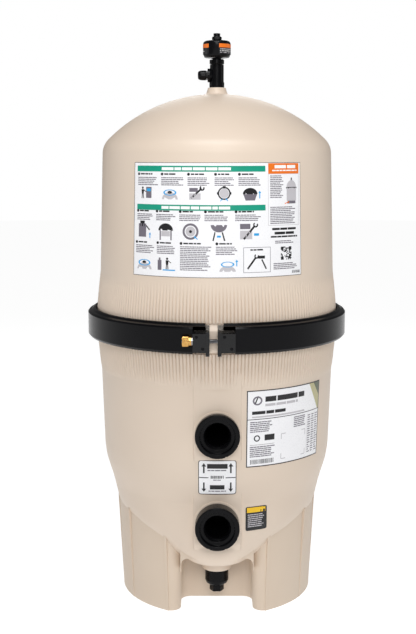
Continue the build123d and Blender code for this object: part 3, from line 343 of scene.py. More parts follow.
# ---- lower shell
shellSize = {"splitZ": 634.0, "flangeR": 285.0, "innerR": 264.5, "padHalf": 52.0, "inletPadY": 246.0,
             "inletPadLow": 160.0, "stripHalf": 50.5, "stripTop": 562.0, "drainY": 150.0, "drainBossR": 33.0,
             "drainBossZ": 87.0, "drainHoleR": 20.0, "portHoleR": 33.4, "blend": 7.0}
wallTable = ([350, 408, 452, 495, 528, 557, 585, 602.5], [262.8, 264.6, 266.0, 267.3, 268.4, 269.4, 270.6, 272.5])
dishTable = np.array([(350, 262.8), (335, 261.2), (320, 258.8), (299, 253.2), (276, 246), (255, 240.5),
                      (235, 236), (216, 231), (202, 224), (188, 210), (174, 183), (163, 145), (156, 90),
                      (153.4, 20)], float)
sumpTable = np.array([(300, 228, 0), (262, 232, 8), (235, 228, 15), (210, 217, 27), (190, 198, 46),
                      (170, 163, 81), (150, 126, 117), (130, 96, 137), (112, 66, 148)], float)[::-1]


def wallRadius(z):
    return curveThrough(z, *wallTable)


def dishRadius(z):
    return curveThrough(z, dishTable[:-2, 0][::-1], dishTable[:-2, 1][::-1])


def shellReach(turn, z, dish):
    # distance from the shifted centre to the wall along each turn: the rounded larger of the dish
    # circle and the sump circle, then the flat inlet pad and the flat strip above the outlet
    sump = curveThrough(z, sumpTable[:, 0], sumpTable[:, 1]) * (z < 300)
    forwardBy = np.where(z < 262, curveThrough(z, sumpTable[:, 0], sumpTable[:, 2]), 0)
    centre = np.interp(z, [112, 153, 262], [148, 60, 0])
    circle = []
    for radius, shift in ((dish, -centre), (sump, forwardBy - centre)):
        circle.append(shift * np.cos(turn) + np.sqrt(np.maximum(radius ** 2 - (shift * np.sin(turn)) ** 2, 0)))
    reach = softMax(circle[0], circle[1], shellSize["blend"])
    ahead = np.maximum(np.cos(turn), 0.05)
    aside = np.maximum(np.abs(np.sin(turn)), 1e-4)
    padY = shellSize["inletPadY"] - np.maximum(176 - z, 0) * 0.45
    pad = -softMax(-(padY - centre) / ahead, -shellSize["padHalf"] / aside, 3.0)
    pad = np.where((z > shellSize["inletPadLow"]) & (z < 300) & (np.cos(turn) > 0.2), pad, 0)
    reach = softMax(reach, pad, 1.6)
    stripY = np.interp(z, [370, 496, 530, 562], [264, 264, 266.2, 268.6])
    x = np.abs(reach * np.sin(turn))
    inStrip = smoothStep(shellSize["stripHalf"] + 1.6, shellSize["stripHalf"] - 1.0, x) * (np.cos(turn) > 0)
    inStrip = inStrip * smoothStep(shellSize["stripTop"], 545, z) * smoothStep(369, 373, z)
    return reach + inStrip * (stripY / ahead - reach), centre


def shellPoints(turn, z, dish):
    reach, centre = shellReach(turn, z, dish)
    return np.stack([reach * np.sin(turn), -centre - reach * np.cos(turn), z + 0 * turn], -1)


shellTurn = np.radians(np.concatenate([np.linspace(-180, -18, 130)[:-1], np.linspace(-18, 18, 110),
                                       np.linspace(18, 180, 130)[1:-1]]))[None, :]
outerZ = np.concatenate([np.linspace(600, 350, 44), np.linspace(345, 204, 42), [199, 194, 189, 184, 179, 174]])
dishZ = np.concatenate([wallRadius(outerZ[:44]), dishRadius(outerZ[44:])])
index = np.linspace(10, 13, 12)[1:]
outerZ = np.concatenate([outerZ, np.interp(index, range(14), dishTable[:, 0]), [150, 146, 141, 136, 130, 124,
                                                                              119, 115, 112.6]])
dishZ = np.concatenate([dishZ, np.interp(index, range(14), dishTable[:, 1]), np.zeros(9)])
outer = shellPoints(shellTurn, outerZ[:, None], dishZ[:, None])
around = np.stack([np.sin(shellTurn), -np.cos(shellTurn), 0 * shellTurn], -1)[0]


def roundRows(rows, centreY):
    # plain circles (radius, height) about an upright axis at the given Y
    rows = np.array(rows, float)
    return rows[:, :1, None] * around[None] + np.array([0, centreY, 0]) + rows[:, 1:, None] * np.array([0, 0, 1.0])


flangeR, bossR, bossZ, holeR = (shellSize[key] for key in ("flangeR", "drainBossR", "drainBossZ", "drainHoleR"))
top = roundRows([(shellSize["innerR"], shellSize["splitZ"]), (flangeR, shellSize["splitZ"]), (flangeR, 616.5),
                 (flangeR - 0.7, 614.2), (272.9, 603.0)], 0)
boss = roundRows([(46, 110.8), (37.5, 108.8), (34.4, 105), (bossR, 99), (bossR, bossZ + 1.2), (bossR - 1, bossZ),
                  (holeR, bossZ), (holeR, 119)], -shellSize["drainY"])
innerDown = np.arange(len(outerZ))[::-2]
shrunk = shellPoints(shellTurn, np.minimum(outerZ, 600)[innerDown][:, None], dishZ[innerDown][:, None])
middle = shrunk.mean(1, keepdims=True)
tilt = np.clip((outerZ[innerDown] - 112) / 160, 0, 1)[:, None, None]
shrunk = middle + (shrunk - middle) * (1 - 9.5 / np.linalg.norm((shrunk - middle)[..., :2], axis=-1))[..., None]
shrunk[..., 2:] += 9.0 * (1 - tilt)
shrunk[..., 1] = np.maximum(shrunk[..., 1], -236.5 - 20 * (shrunk[..., 2] > 300))
shellGrid = np.concatenate([top, outer, boss, shrunk, roundRows([(shellSize["innerR"], 605)], 0)])
flat, faces = closedGrid(shellGrid, True)
lowerShell = makePiece("lowerShell", flat, faces, "tank", [finishes["shellBeige"]], sharp=42)


def cutRound(piece, centres, radius, depth):
    # round holes along Y, made with a cutter that is taken away afterwards
    for x, y, z in centres:
        turn = np.linspace(0, 2 * np.pi, 72, endpoint=False)
        rows = np.stack([np.stack([x + radius * np.cos(turn), 0 * turn + y + side * depth / 2,
                                   z + radius * np.sin(turn)], -1) for side in (-1, 1)])
        flat, faces = closedGrid(rows, False)
        mesh = bpy.data.meshes.new("cutter")
        mesh.from_pydata((flat * mm).tolist(), [], faces)
        cutter = bpy.data.objects.new("cutter", mesh)
        bpy.context.scene.collection.objects.link(cutter)
        hole = piece.modifiers.new("hole", "BOOLEAN")
        hole.operation, hole.solver, hole.object = "DIFFERENCE", "EXACT", cutter
        bpy.context.view_layer.update()
        made = bpy.data.meshes.new_from_object(piece.evaluated_get(bpy.context.evaluated_depsgraph_get()))
        piece.modifiers.remove(hole)
        bpy.data.objects.remove(cutter)
        piece.data = made


cutRound(lowerShell, [(0, -250, 425), (0, -240, 221)], shellSize["portHoleR"], 110)
lowerShell.data.set_sharp_from_angle(angle=math.radians(42))
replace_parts(lowerShell, "tank_bottom")
bodyFluteZ = np.linspace(601, 524, 16)
bodyCrest = np.interp(-bodyFluteZ, [-601, -585, -557, -538, -524], [4.6, 4.4, 3.0, 1.6, -0.36])
fluteRing("bodyFlutes", bodyFluteZ, wallRadius(bodyFluteZ), bodyCrest)
print("lower shell made,", len(lowerShell.data.polygons), "faces")

# ---- port rings
portSize = {"faceY": -284.0, "flangeR": 48.0, "stepR": 37.0, "stepDepth": 7.0, "boreR": 26.3, "barrelR": 33.0,
            "endY": -206.0, "notches": 8, "notchDeep": 1.5}
portSpots = {"outlet": (425.0, -264.0), "inlet": (221.0, -246.0)}


def notchedRim(radius, along, turn):
    # eight shallow dog notches round the rim near the face
    phase = (turn * portSize["notches"] / (2 * np.pi)) % 1 - 0.5
    dip = portSize["notchDeep"] * (np.abs(phase) < 0.035) * (radius > 44) * (along > -5)
    return radius - dip, along


for name, (portZ, padY) in portSpots.items():
    size = portSize
    seat = padY - 5.0 - size["faceY"]
    back = size["faceY"] - size["endY"]
    rows = [(size["barrelR"], back, 0.6), (size["barrelR"], -seat, 0.3), (size["flangeR"], -seat, 0.8),
            (size["flangeR"], -5.2, 0.2), (size["flangeR"], 0, 2.6), (size["stepR"] + 1.0, 0, 1.6),
            (size["stepR"], -size["stepDepth"], 1.2), (size["boreR"] + 3.2, -size["stepDepth"] - 0.6, 1.0),
            (size["boreR"] + 2.4, -13.0, 1.0), (size["boreR"], -16.0, 1.2), (size["boreR"], back, 0.6)]
    ring = turned(name + "PortRing", softProfile(rows, 6), (0, size["faceY"], portZ), forward, "tank",
                  finishes["blackMoulding"], count=128, shape=notchedRim)
    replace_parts(ring, name + "_fitting")
    gasket = softProfile([(34, 2.1, 0.3), (46.5, 2.1, 1.2), (46.5, 4.9, 1.2), (34, 4.9, 0.3)], 5)
    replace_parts(turned(name + "PortGasket", gasket, (0, padY, portZ), forward, "tank",
                       finishes["rubber"]), name + "_gasket")
    bossRows = softProfile([(34, -4, 0.2), (51, -4, 0.2), (51, 2.0, 1.3), (34, 2.0, 0.2)], 5)
    turned(name + "PortBoss", bossRows, (0, padY, portZ), forward, "tank",
           finishes["shellBeige"], count=120)
print("port rings made")

# ---- relief valve
valveSize = {"knobR": 31.0, "knobInnerR": 27.4, "knobLow": 1231.0, "knobHigh": 1270.0, "roofZ": 1262.0,
             "ventZ": 1192.5}
knobR, innerR, low, high, roof = (valveSize[key] for key in ("knobR", "knobInnerR", "knobLow", "knobHigh", "roofZ"))
knobRows = [(13.2, low + 0.6, 0.6), (27.0, low, 3.0), (knobR, low + 4.0, 3.5), (knobR, high - 6.0, 4.0),
            (27.6, high - 1.8, 3.0), (14.0, high, 3.0), (10.6, high - 0.1, 0.3), (10.6, roof + 0.2, 0.3),
            (innerR, roof, 1.5), (innerR, low + 4.0, 1.0), (17.5, low + 3.6, 1.0), (17.3, low + 0.4, 0.4)]


def knobGrip(radius, along, turn):
    # shallow finger flats low on the skirt, four of them
    flats = smoothStep(0.72, 0.98, np.abs(np.cos(2 * turn))) * (radius > 29) * smoothStep(1240, 1236, along)
    return radius - 1.1 * flats, along


knob = turned("reliefKnob", softProfile(knobRows, 6), (0, 0, 0), upright, "relief_knob",
              finishes["valvePlastic"], count=144, shape=knobGrip)
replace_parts(knob, "valve_knob")


def hexHead(flats, low, high):
    def shape(radius, along, turn):
        # hexagon: radius capped at half the flats over the cosine of the turn from the nearest flat
        near = (turn % (np.pi / 3)) - np.pi / 6
        return np.where((along > low) & (along < high), np.minimum(radius, flats / 2 / np.cos(near)), radius), along
    return shape


plugRows = [(5.4, 1259.0), (5.4, 1270.6), (8.6, 1270.7), (10.4, 1271.2), (11.0, 1272.0), (11.0, 1276.4),
            (10.4, 1277.2), (9.2, 1277.7), (7.9, 1277.8), (7.5, 1278.4), (7.5, 1283.4), (7.9, 1283.9),
            (7.7, 1284.7), (6.8, 1285.0), (2.0, 1285.0)]
plug = turned("gaugePlug", plugRows, (0, 0, 0), upright, "gauge_plug",
              finishes["valvePlastic"], ring=False, shape=hexHead(19.0, 1271.0, 1277.5))
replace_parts(plug, "gauge_plug")
capRows = softProfile([(7.4, 0.2, 0.2), (10.3, 0.2, 0.6), (11.0, 2.2, 1.2), (11.0, 13.5, 5.0), (8.4, 19.4, 4.0),
                       (1.2, 19.6, 0.2)], 6, closed=False)


def capFlutes(radius, along, turn):
    # fine grip flutes on the first stretch of the cap
    return radius - 0.35 * (0.5 + 0.5 * np.cos(24 * turn)) * (radius > 9.5) * smoothStep(14, 10, along), along


cap = turned("ventCap", np.concatenate([[[1.0, 0.4], [7.0, 0.3]], capRows[1:]]), (-23.4, 0, valveSize["ventZ"]),
             leftward, "vent_cap", finishes["valvePlastic"], ring=False, shape=capFlutes)
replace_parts(cap, "vent_cap")
print("relief valve made")

# ---- clamp nut, threads
boltSize = {"y": -300.0, "z": 634.0, "r": 4.75, "pitch": 1.5, "deep": 0.55, "start": -24.0, "end": 74.5}


def threaded(radius, along, turn):
    # triangle wave that climbs one pitch a turn
    phase = (along / boltSize["pitch"] - turn / (2 * np.pi)) % 1
    cut = boltSize["deep"] * 2 * np.abs(phase - 0.5)
    return radius - cut * (along > boltSize["start"] + 10) * (along < boltSize["end"] - 0.9), along


boltAlong = np.arange(boltSize["start"], boltSize["end"], boltSize["pitch"] / 6)
boltRows = np.stack([np.full_like(boltAlong, boltSize["r"]), boltAlong], -1)
boltRows[-1] = (3.9, boltSize["end"])
bolt = turned("boltRod", boltRows, (0, boltSize["y"], boltSize["z"]), leftward, "clamp_bolt",
              finishes["zincSteel"], ring=False, count=28, shape=threaded, sharp=25)
turned("boltBarrel", softProfile([(0.8, -12, 0.1), (7.3, -12, 0.9), (7.3, 12, 0.9), (0.8, 12, 0.1)], 5, closed=False),
       (24, boltSize["y"], boltSize["z"]), upright, "clamp_bolt", finishes["zincSteel"], ring=False,
       count=48)
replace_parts(bolt, "clamp_bolt")
nutRows = [(4.9, 0), (9.0, 0.1), (9.5, 0.6), (9.5, 5.8), (9.7, 6.1), (10.8, 6.3), (11.6, 7.0), (11.9, 8.0),
           (11.9, 18.0), (11.4, 19.2), (10.4, 19.8), (9.4, 20.0), (5.6, 20.0), (4.9, 19.4)]
nut = turned("brassNut", nutRows, (-54.0, boltSize["y"], boltSize["z"]), leftward, "clamp_nut",
             finishes["brass"], count=96, shape=hexHead(20.6, 6.2, 19.9), sharp=30)
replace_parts(nut, "clamp_nut")
print("bolt and nut made")

# ---- labels: a vinyl film and, on it, the printed patches as one thin piece
inkOrder = list(inks)


def plate(ink, corners, step=8.0):
    # straight-sided patch: the blend of four corners (u, t) on a grid fine enough to follow the wall
    a, b, c, d = np.array(corners, float)
    columns = int(np.abs(np.array([b - a, c - d]) / (step, 3.5)).max() + 2)
    rows = int(np.abs(np.array([d - a, c - b]) / (step, 3.5)).max() + 2)
    s, r = np.linspace(0, 1, columns)[None, :, None], np.linspace(0, 1, rows)[:, None, None]
    return inkOrder.index(ink), (a * (1 - s) + b * s) * (1 - r) + (d * (1 - s) + c * s) * r


def bar(ink, u0, t0, u1, t1):
    return plate(ink, [(u0, t0), (u1, t0), (u1, t1), (u0, t1)])


def dot(ink, u, t, radius, squash=1.0):
    # a square grid pressed into a circle: x sqrt(1 - y^2 / 2), y sqrt(1 - x^2 / 2)
    x, y = np.meshgrid(np.linspace(-1, 1, 6), np.linspace(-1, 1, 6))
    return inkOrder.index(ink), np.stack([u + radius * x * np.sqrt(1 - y * y / 2),
                                          t + radius * squash * y * np.sqrt(1 - x * x / 2)], -1)


def hoop(ink, u, t, outer, inner, squash=1.0, start=0, stop=360):
    # part of a ring between two radii, angles clockwise from the right
    turn = np.radians(np.linspace(start, stop, max(int(abs(stop - start) // 15), 3) + 1))[None, :]
    radius = np.array([[outer], [inner]])
    return inkOrder.index(ink), np.stack([u + radius * np.cos(turn), t + radius * squash * np.sin(turn)], -1)


def stroke(ink, u0, t0, u1, t1, width):
    along = np.array([u1 - u0, t1 - t0]) / math.hypot(u1 - u0, t1 - t0)
    side = np.array([-along[1], along[0]]) * width / 2
    a, b = np.array([u0, t0]), np.array([u1, t1])
    return plate(ink, [a + side, b + side, b - side, a - side])


def arrow(ink, u0, t0, u1, t1, width):
    # a straight stem and a head three stems wide
    a, b = np.array([u0, t0], float), np.array([u1, t1], float)
    along = (b - a) / np.linalg.norm(b - a)
    side, neck = np.array([-along[1], along[0]]) * width, b - along * width * 2.2
    return [stroke(ink, *a, *neck, width),
            plate(ink, [neck + side * 1.5, b + side * 0.05, b - side * 0.05, neck - side * 1.5])]


def words(ink, u0, t0, u1, size, seed, gap=0.5):
    # one line of greeked text: blocks of seeded length
    lengths = np.random.default_rng(seed).uniform(1.4, 5.0, 60) * size
    starts = u0 + np.concatenate([[0], np.cumsum(lengths + gap * size)])[:-1]
    return [bar(ink, s, t0, min(s + length, u1), t0 + size)
            for s, length in zip(starts, lengths) if s < u1 - size]


def paragraph(ink, u0, t0, u1, t1, pitch, size, seed):
    lines = []
    for k, t in enumerate(np.arange(t0, t1 - size + 0.01, pitch)):
        short = np.random.default_rng(seed + k).uniform(0.72, 1.0)
        lines += words(ink, u0, t, u0 + (u1 - u0) * short, size, seed * 31 + k, 0.35)
    return lines


def frameOf(ink, u0, t0, u1, t1, width):
    return [bar(ink, u0, t0, u1, t0 + width), bar(ink, u0, t1 - width, u1, t1),
            bar(ink, u0, t0 + width, u0 + width, t1 - width), bar(ink, u1 - width, t0 + width, u1, t1 - width)]


def cells(ink, u, t, side, count, seed):
    filled = np.random.default_rng(seed).random((count, count)) > 0.5
    filled[:3, :3] = filled[:3, -3:] = filled[-3:, :3] = True
    pitch = side / count
    return [bar(ink, u + j * pitch, t + i * pitch, u + (j + 1) * pitch, t + (i + 1) * pitch)
            for i, j in zip(*np.nonzero(filled))]


def stripes(ink, u0, t0, u1, t1, seed):
    edges = np.cumsum(np.random.default_rng(seed).choice([0.5, 0.8, 1.1, 1.5], 60))
    return [bar(ink, u0 + a, t0, u0 + b, t1) for a, b in zip(edges[::2], edges[1::2]) if u0 + b < u1]


def sheetPiece(name, patches, place, lift, thick, body, materials):
    # patches (choice, grid of (u, t)) are laid on the wall by place(u, t, lift), then get their thickness
    points, faces, choice, first = [], [], [], 0
    for kind, grid in patches:
        rows, columns = grid.shape[:2]
        r, c = np.meshgrid(np.arange(rows - 1), np.arange(columns - 1), indexing="ij")
        quads = first + np.stack([r * columns + c, (r + 1) * columns + c, (r + 1) * columns + c + 1,
                                  r * columns + c + 1], -1).reshape(-1, 4)
        a, b, d = (grid.reshape(-1, 2)[quads[0, i] - first] for i in (0, 1, 3))
        if (b[0] - a[0]) * (d[1] - a[1]) - (b[1] - a[1]) * (d[0] - a[0]) > 0:
            quads = quads[:, ::-1]
        points.append(grid.reshape(-1, 2))
        faces.append(quads)
        choice.append(np.full(len(quads), kind))
        first += rows * columns
    flat = np.concatenate(points)
    piece = makePiece(name, place(flat[:, 0], flat[:, 1], lift), np.concatenate(faces).tolist(), body,
                      materials, np.concatenate(choice), 40)
    piece.data.shade_flat()
    skin = piece.modifiers.new("thickness", "SOLIDIFY")
    skin.thickness, skin.offset = thick * mm, 1.0
    return piece


def onLid(u, t, lift):
    turn, z = np.radians(-labelSize["half"] + u / labelSize["perDegree"]), labelSize["topZ"] - t
    radius = lidRadius(z) + lift
    return np.stack([radius * np.sin(turn), -radius * np.cos(turn), z], -1)


# ---- instruction label on the lid
labelSize = {"half": 42.0, "topZ": 1000.0, "perDegree": 4.607, "wide": 387.0, "high": 238.0, "film": 0.45,
             "print": 0.10, "border": 0.9}
layer = {"film": 0.05, "face": 0.45, "ink": 0.5, "topInk": 0.6, "portInk": 0.57}  # heights over the wall
vinyl = [finishes["labelVinyl"]] * len(inkOrder)
allInks = list(inks.values())
w, h, edge = labelSize["wide"], labelSize["high"], labelSize["border"]
film = sheetPiece("instructionFilm", [bar("white", 0, 0, w, h)], onLid, layer["film"], labelSize["film"], "tank",
                  vinyl)
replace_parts(film, "label_instruction")
art = frameOf("black", 0, 0, w, h, edge)
for t in (6.8, 87.0):
    art.append(bar("green", 8.8, t, 296, t + 12))
columnsOne = [(12.9, 58), (72.8, 56), (132.2, 53), (189, 46), (238.8, 56)]
columnsTwo = [(11.5, 47), (61.3, 50), (114.7, 50), (168.2, 60), (231.7, 62)]
columnsThree = [(8.9, 52), (63.6, 50), (116.8, 70), (191.8, 50)]
for row, (columns, dotT, textT, textEnd) in enumerate([(columnsOne, 24, 30.5, 49), (columnsTwo, 101, 107, 121),
                                                       (columnsThree, 167, 173, 193)]):
    for k, (u, wide) in enumerate(columns):
        art.append(dot("black", u, dotT, 3.0))
        art += words("black", u + 5, dotT - 1.6, u + wide * 0.62, 3.0, 7 * row + k)
        long = 226 if (row, k) == (2, 2) else textEnd
        art += paragraph("grey", u - 2, textT, u + wide - 6, long, 3.7, 1.9, 100 * row + 9 * k)
overPrint = []
for t in (9.8, 90.0):
    overPrint += words("white", 72, t, 221, 6.0, int(t), 0.35)


def domeIcon(ink, u, t, wide, high):
    return [hoop(ink, u, t, wide / 2, 0.2, 2 * high / wide, 180, 360)]


def personIcon(u, t, s):
    return [dot("black", u, t, 2.4 * s), plate("black", [(u - 3.4 * s, t + 3.2 * s), (u + 3.4 * s, t + 3.2 * s),
                                                         (u + 2.4 * s, t + 13 * s), (u - 2.4 * s, t + 13 * s)]),
            stroke("black", u - 1.4 * s, t + 13 * s, u - 2.0 * s, t + 22 * s, 1.9 * s),
            stroke("black", u + 1.4 * s, t + 13 * s, u + 2.2 * s, t + 22 * s, 1.9 * s),
            stroke("black", u + 3 * s, t + 4.5 * s, u + 9 * s, t + 8.5 * s, 1.5 * s)]


# row one
art += personIcon(24, 53, 1.0) + [bar("grey", 33, 51, 47, 74), bar("blue", 35, 54, 45, 60)]
art += domeIcon("pale", 91, 76, 36, 15) + [hoop("blue", 91, 62, 15, 11.5, 0.42), dot("black", 91, 61.5, 5, 0.6)]
art += [bar("grey", 134, 52, 152, 60), bar("pale", 134, 63, 158, 76), stroke("black", 138, 73, 160, 53, 4.0),
        hoop("black", 161, 52.5, 5.4, 2.4, 1, -30, 240)]
art += [hoop("black", 207, 63, 13.5, 10.6), dot("pale", 207, 63, 9.6), bar("black", 204, 48, 210, 53),
        bar("black", 192, 60.5, 196, 65.5), bar("black", 218, 60.5, 222, 65.5)]
art += arrow("blue", 199, 79, 204, 73, 1.7) + arrow("blue", 215, 79, 210, 73, 1.7)
art += domeIcon("black", 262, 65, 32, 13) + [plate("grey", [(247, 65), (277, 65), (272, 78), (252, 78)])]
art += arrow("blue", 283, 74, 283, 58, 2.2)
# row two
art += [bar("grey", 14, 128, 34, 156), bar("black", 18, 122, 30, 134), stroke("black", 34, 132, 43, 141, 2.6)]
art += arrow("blue", 44, 158, 44, 146, 2.0)
art += domeIcon("black", 82, 141, 34, 15) + [bar("grey", 68, 141, 71, 161), bar("grey", 93, 141, 96, 161),
                                             bar("pale", 72, 142, 92, 153)]
art += [hoop("grey", 137, 142, 17, 12.5), dot("pale", 137, 142, 10.5), dot("black", 137, 142, 3.2)]
art += arrow("blue", 152, 158, 144, 152, 1.9)
art += [hoop("grey", 196, 128, 17, 0.2, 0.9, 0, 180), stroke("black", 188, 143, 184, 161, 2.8),
        stroke("black", 203, 143, 208, 161, 2.8), bar("blue", 192, 150, 200, 154)]
art += [bar("grey", 240, 126, 262, 137), bar("pale", 240, 140, 266, 158), stroke("black", 248, 158, 272, 130, 4.2),
        hoop("black", 273.5, 128.5, 5.6, 2.5, 1, -30, 240), bar("blue", 270, 146, 281, 151)]
# row three
art += domeIcon("pale", 30, 224, 38, 14) + [hoop("blue", 30, 210, 16, 12.2, 0.42), dot("black", 30, 209, 5, 0.6)]
art += [bar("grey", 64, 203, 73, 224), bar("grey", 66.5, 198, 70.5, 203)] + personIcon(86, 200, 1.0)
art += [bar("blue", 76, 222.5, 104, 225)]
art += domeIcon("pale", 214, 225, 34, 12) + [hoop("blue", 214, 210, 14, 10.8, 0.42)]
art += arrow("blue", 233, 214, 233, 200, 2.2)
# tool box
art += frameOf("grey", 247, 175, 307, 228, 0.9) + words("black", 262, 179, 293, 3.0, 3)
art += [stroke("black", 256, 220, 274, 196, 3.8), hoop("black", 275.5, 194, 5.2, 2.3, 1, -30, 240),
        stroke("black", 297, 221, 287, 201, 3.0), bar("black", 279, 193, 294, 199)]
# right-hand panel
art += [bar("orange", 302.6, 1.7, 381.7, 23.4)] + frameOf("pale", 302.2, 23.4, 382, 131, 0.8)
overPrint += words("white", 318, 5.6, 372, 6.6, 5) + words("white", 312, 15.4, 376, 2.6, 6)
art += paragraph("grey", 307, 27, 340, 74, 3.7, 1.9, 61) + paragraph("grey", 307, 92, 378, 128, 3.7, 1.9, 83)
art += domeIcon("pale", 361, 52, 26, 15) + [bar("pale", 348, 53, 374, 80), bar("black", 346.5, 51.4, 375.5, 54.4),
                                            bar("black", 359.4, 32, 362.6, 37)]
art += arrow("orange", 343, 86, 355, 82, 1.8) + [bar("grey", 350, 80, 372, 86)]
for k, (half, tall) in enumerate([(31, 4.6), (25, 5.4), (34, 3.4)]):
    art += words("black", 342 - half, 136 + k * 8.4, 342 + half, tall, 40 + k, 0.3)
art += paragraph("grey", 318, 163, 369, 172, 3.7, 1.9, 71) + cells("black", 332, 176, 27.6, 12, 8)
art += paragraph("grey", 314, 210, 378, 224, 3.7, 1.9, 75) + stripes("black", 360, 227, 384, 233, 4)
sheetPiece("instructionPrint", art, onLid, layer["ink"], labelSize["print"], "tank", allInks)
sheetPiece("instructionOverprint", overPrint, onLid, layer["topInk"], labelSize["print"], "tank",
           allInks)
print("instruction label printed,", len(art), "patches")

# ---- rating label on the lower wall
ratingSize = {"start": 13.5, "topZ": 520.0, "perDegree": 4.643, "wide": 206.6, "high": 169.4, "border": 2.2}


def onBody(u, t, lift):
    turn, z = np.radians(ratingSize["start"] + u / ratingSize["perDegree"]), ratingSize["topZ"] - t
    radius = wallRadius(z) + lift
    return np.stack([radius * np.sin(turn), -radius * np.cos(turn), z], -1)


w, h, edge = ratingSize["wide"], ratingSize["high"], ratingSize["border"]
film = sheetPiece("ratingFilm", [bar("white", 0, 0, w, h)], onBody, layer["film"], labelSize["film"], "tank",
                  vinyl)
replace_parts(film, "label_rating")
art = frameOf("black", 0, 0, w, h, edge)
art += [plate("olive", [(w * 0.80, edge), (w - edge, edge), (w - edge, h * 0.37), (w * 0.97, h * 0.37)]),
        bar("black", edge, h * 0.372, w - edge, h * 0.381)]
art += [hoop("grey", 24, 23, 11, 7.4, 0.9), plate("black", [(17, 30), (24, 13), (27, 13), (20, 30)])]
art += words("black", 42, 15, 148, 11.5, 12, 0.25) + words("pale", 42, 31, 128, 5.5, 13, 0.4)
art += words("black", 12, 46, 96, 7.0, 14, 0.3) + [bar("pale", 12, 57, 150, 60.5)]
art += paragraph("grey", 8, 69, 62, 96, 4.2, 2.3, 15) + paragraph("grey", 118, 69, 158, 96, 4.2, 2.3, 16)
art += [hoop("black", 24, 106, 7.2, 4.6), bar("black", 42, 99, 66, 112), bar("grey", 8, 120, 66, 120.8)]
art += paragraph("grey", 8, 124, 70, 150, 4.2, 2.3, 17) + stripes("black", 8, 153, 66, 163, 18)
for uSide, uEnd in ((84, 96), (155, 143)):
    for tSide, tEnd in ((102, 114), (158, 146)):
        art += [stroke("pale", uSide, tSide, uEnd, tSide, 1.8), stroke("pale", uSide, tSide, uSide, tEnd, 1.8)]
for k, u in enumerate((164, 178, 192)):
    art += paragraph("grey", u, 72, u + 11, 158, 5.2, 2.4, 19 + k) + [bar("pale", u - 2.4, 69, u - 1.8, 160)]
sheetPiece("ratingPrint", art, onBody, layer["ink"], labelSize["print"], "tank", allInks)
corner = plate("moss", [(w * 0.88, edge), (w - edge, edge), (w - edge, h * 0.19), (w - edge * 1.2, h * 0.19)])
sheetPiece("ratingCorner", [corner], onBody, layer["topInk"], labelSize["print"], "tank", allInks)


# ---- port and caution labels follow the bowl
def onBowl(u, t, lift, leftX, topZ):
    # the turn whose wall point has the wanted x: repeated turn = atan(x / distance ahead)
    x, z = leftX + u, topZ - t
    dish = np.where(z > 348, wallRadius(z), dishRadius(np.minimum(z, 347.9)))
    turn = np.arctan2(x, 230.0)
    for repeat in range(12):
        reach, centre = shellReach(turn, z, dish)
        turn = np.arcsin(np.clip(x / reach, -0.95, 0.95))
    reach, centre = shellReach(turn, z, dish)
    return np.stack([x, -centre - (reach + lift) * np.cos(turn), z + lift * 0.4 * (z < 340)], -1)


portLabel = {"half": 41.0, "topZ": 369.0, "high": 80.0}
cautionLabel = {"left": 62.0, "topZ": 255.0, "wide": 47.0, "high": 54.0, "band": 13.5}


def onPorts(u, t, lift):
    return onBowl(u, t, lift, -portLabel["half"], portLabel["topZ"])


def onCaution(u, t, lift):
    return onBowl(u, t, lift, cautionLabel["left"], cautionLabel["topZ"])


def roundPlate(ink, u0, t0, u1, t1, cut, step=2.0):
    # rectangle whose ends are drawn in near the top and bottom: inset = cut - sqrt(cut^2 - depth^2)
    ease = cut * (1 - np.cos(np.linspace(0, np.pi / 2, 6)))
    t = np.unique(np.concatenate([t0 + ease, np.arange(t0 + cut, t1 - cut, 4), t1 - ease]))
    depth = np.maximum(np.maximum(t0 + cut - t, t - t1 + cut), 0)
    inset = cut - np.sqrt(np.maximum(cut ** 2 - depth ** 2, 0))
    s = np.linspace(0, 1, int((u1 - u0) / step) + 2)[None, :]
    u = (u0 + inset)[:, None] * (1 - s) + (u1 - inset)[:, None] * s
    return inkOrder.index(ink), np.stack([u, t[:, None] + 0 * u], -1)


w, h = 2 * portLabel["half"], portLabel["high"]
film = sheetPiece("portFilm", [roundPlate("black", 0, 0, w, h, 6.0)], onPorts, layer["film"], 0.40, "tank",
                  allInks)
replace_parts(film, "label_ports")
sheetPiece("portFace", [roundPlate("white", 1.5, 1.5, w - 1.5, h - 1.5, 4.8)], onPorts, layer["face"], 0.12, "tank",
           vinyl)
art = words("black", 19, 8, 63, 10.5, 31, 0.2) + words("black", 25, 57, 57, 10.5, 33, 0.2)
art += words("grey", 20, 21.5, 62, 2.4, 35) + words("grey", 22, 70.5, 60, 2.4, 36)
for u in (12, w - 12):
    art += arrow("black", u, 29, u, 6.5, 3.4) + arrow("black", u, 51, u, 73.5, 3.4)
    art += [bar("black", max(u - 11, 2), 38.6, min(u + 10, w - 2), 40.6)]
art += stripes("black", 26, 35, 56, 41.5, 34) + words("grey", 32, 44, 50, 2.0, 37)
sheetPiece("portPrint", art, onPorts, layer["portInk"], labelSize["print"], "tank", allInks)

w, h, band = cautionLabel["wide"], cautionLabel["high"], cautionLabel["band"]
film = sheetPiece("cautionFilm", [roundPlate("black", 0, 0, w, h, 4.0)], onCaution, layer["film"], 0.40, "tank",
                  allInks)
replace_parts(film, "label_caution")
art = [bar("yellow", 3.0, 2.0, w - 3.0, band)] + paragraph("pale", 5, band + 4, w - 5, h - 5, 4.4, 2.1, 45)
sheetPiece("cautionPrint", art, onCaution, layer["face"], labelSize["print"], "tank", allInks)
print("lower labels printed")

# ---- knob wraps: black film, orange band above, greeked print below
knobLabel = {"radius": 31.0, "topZ": 1261.0, "high": 23.0, "perDegree": 0.541, "bandHigh": 9.0}


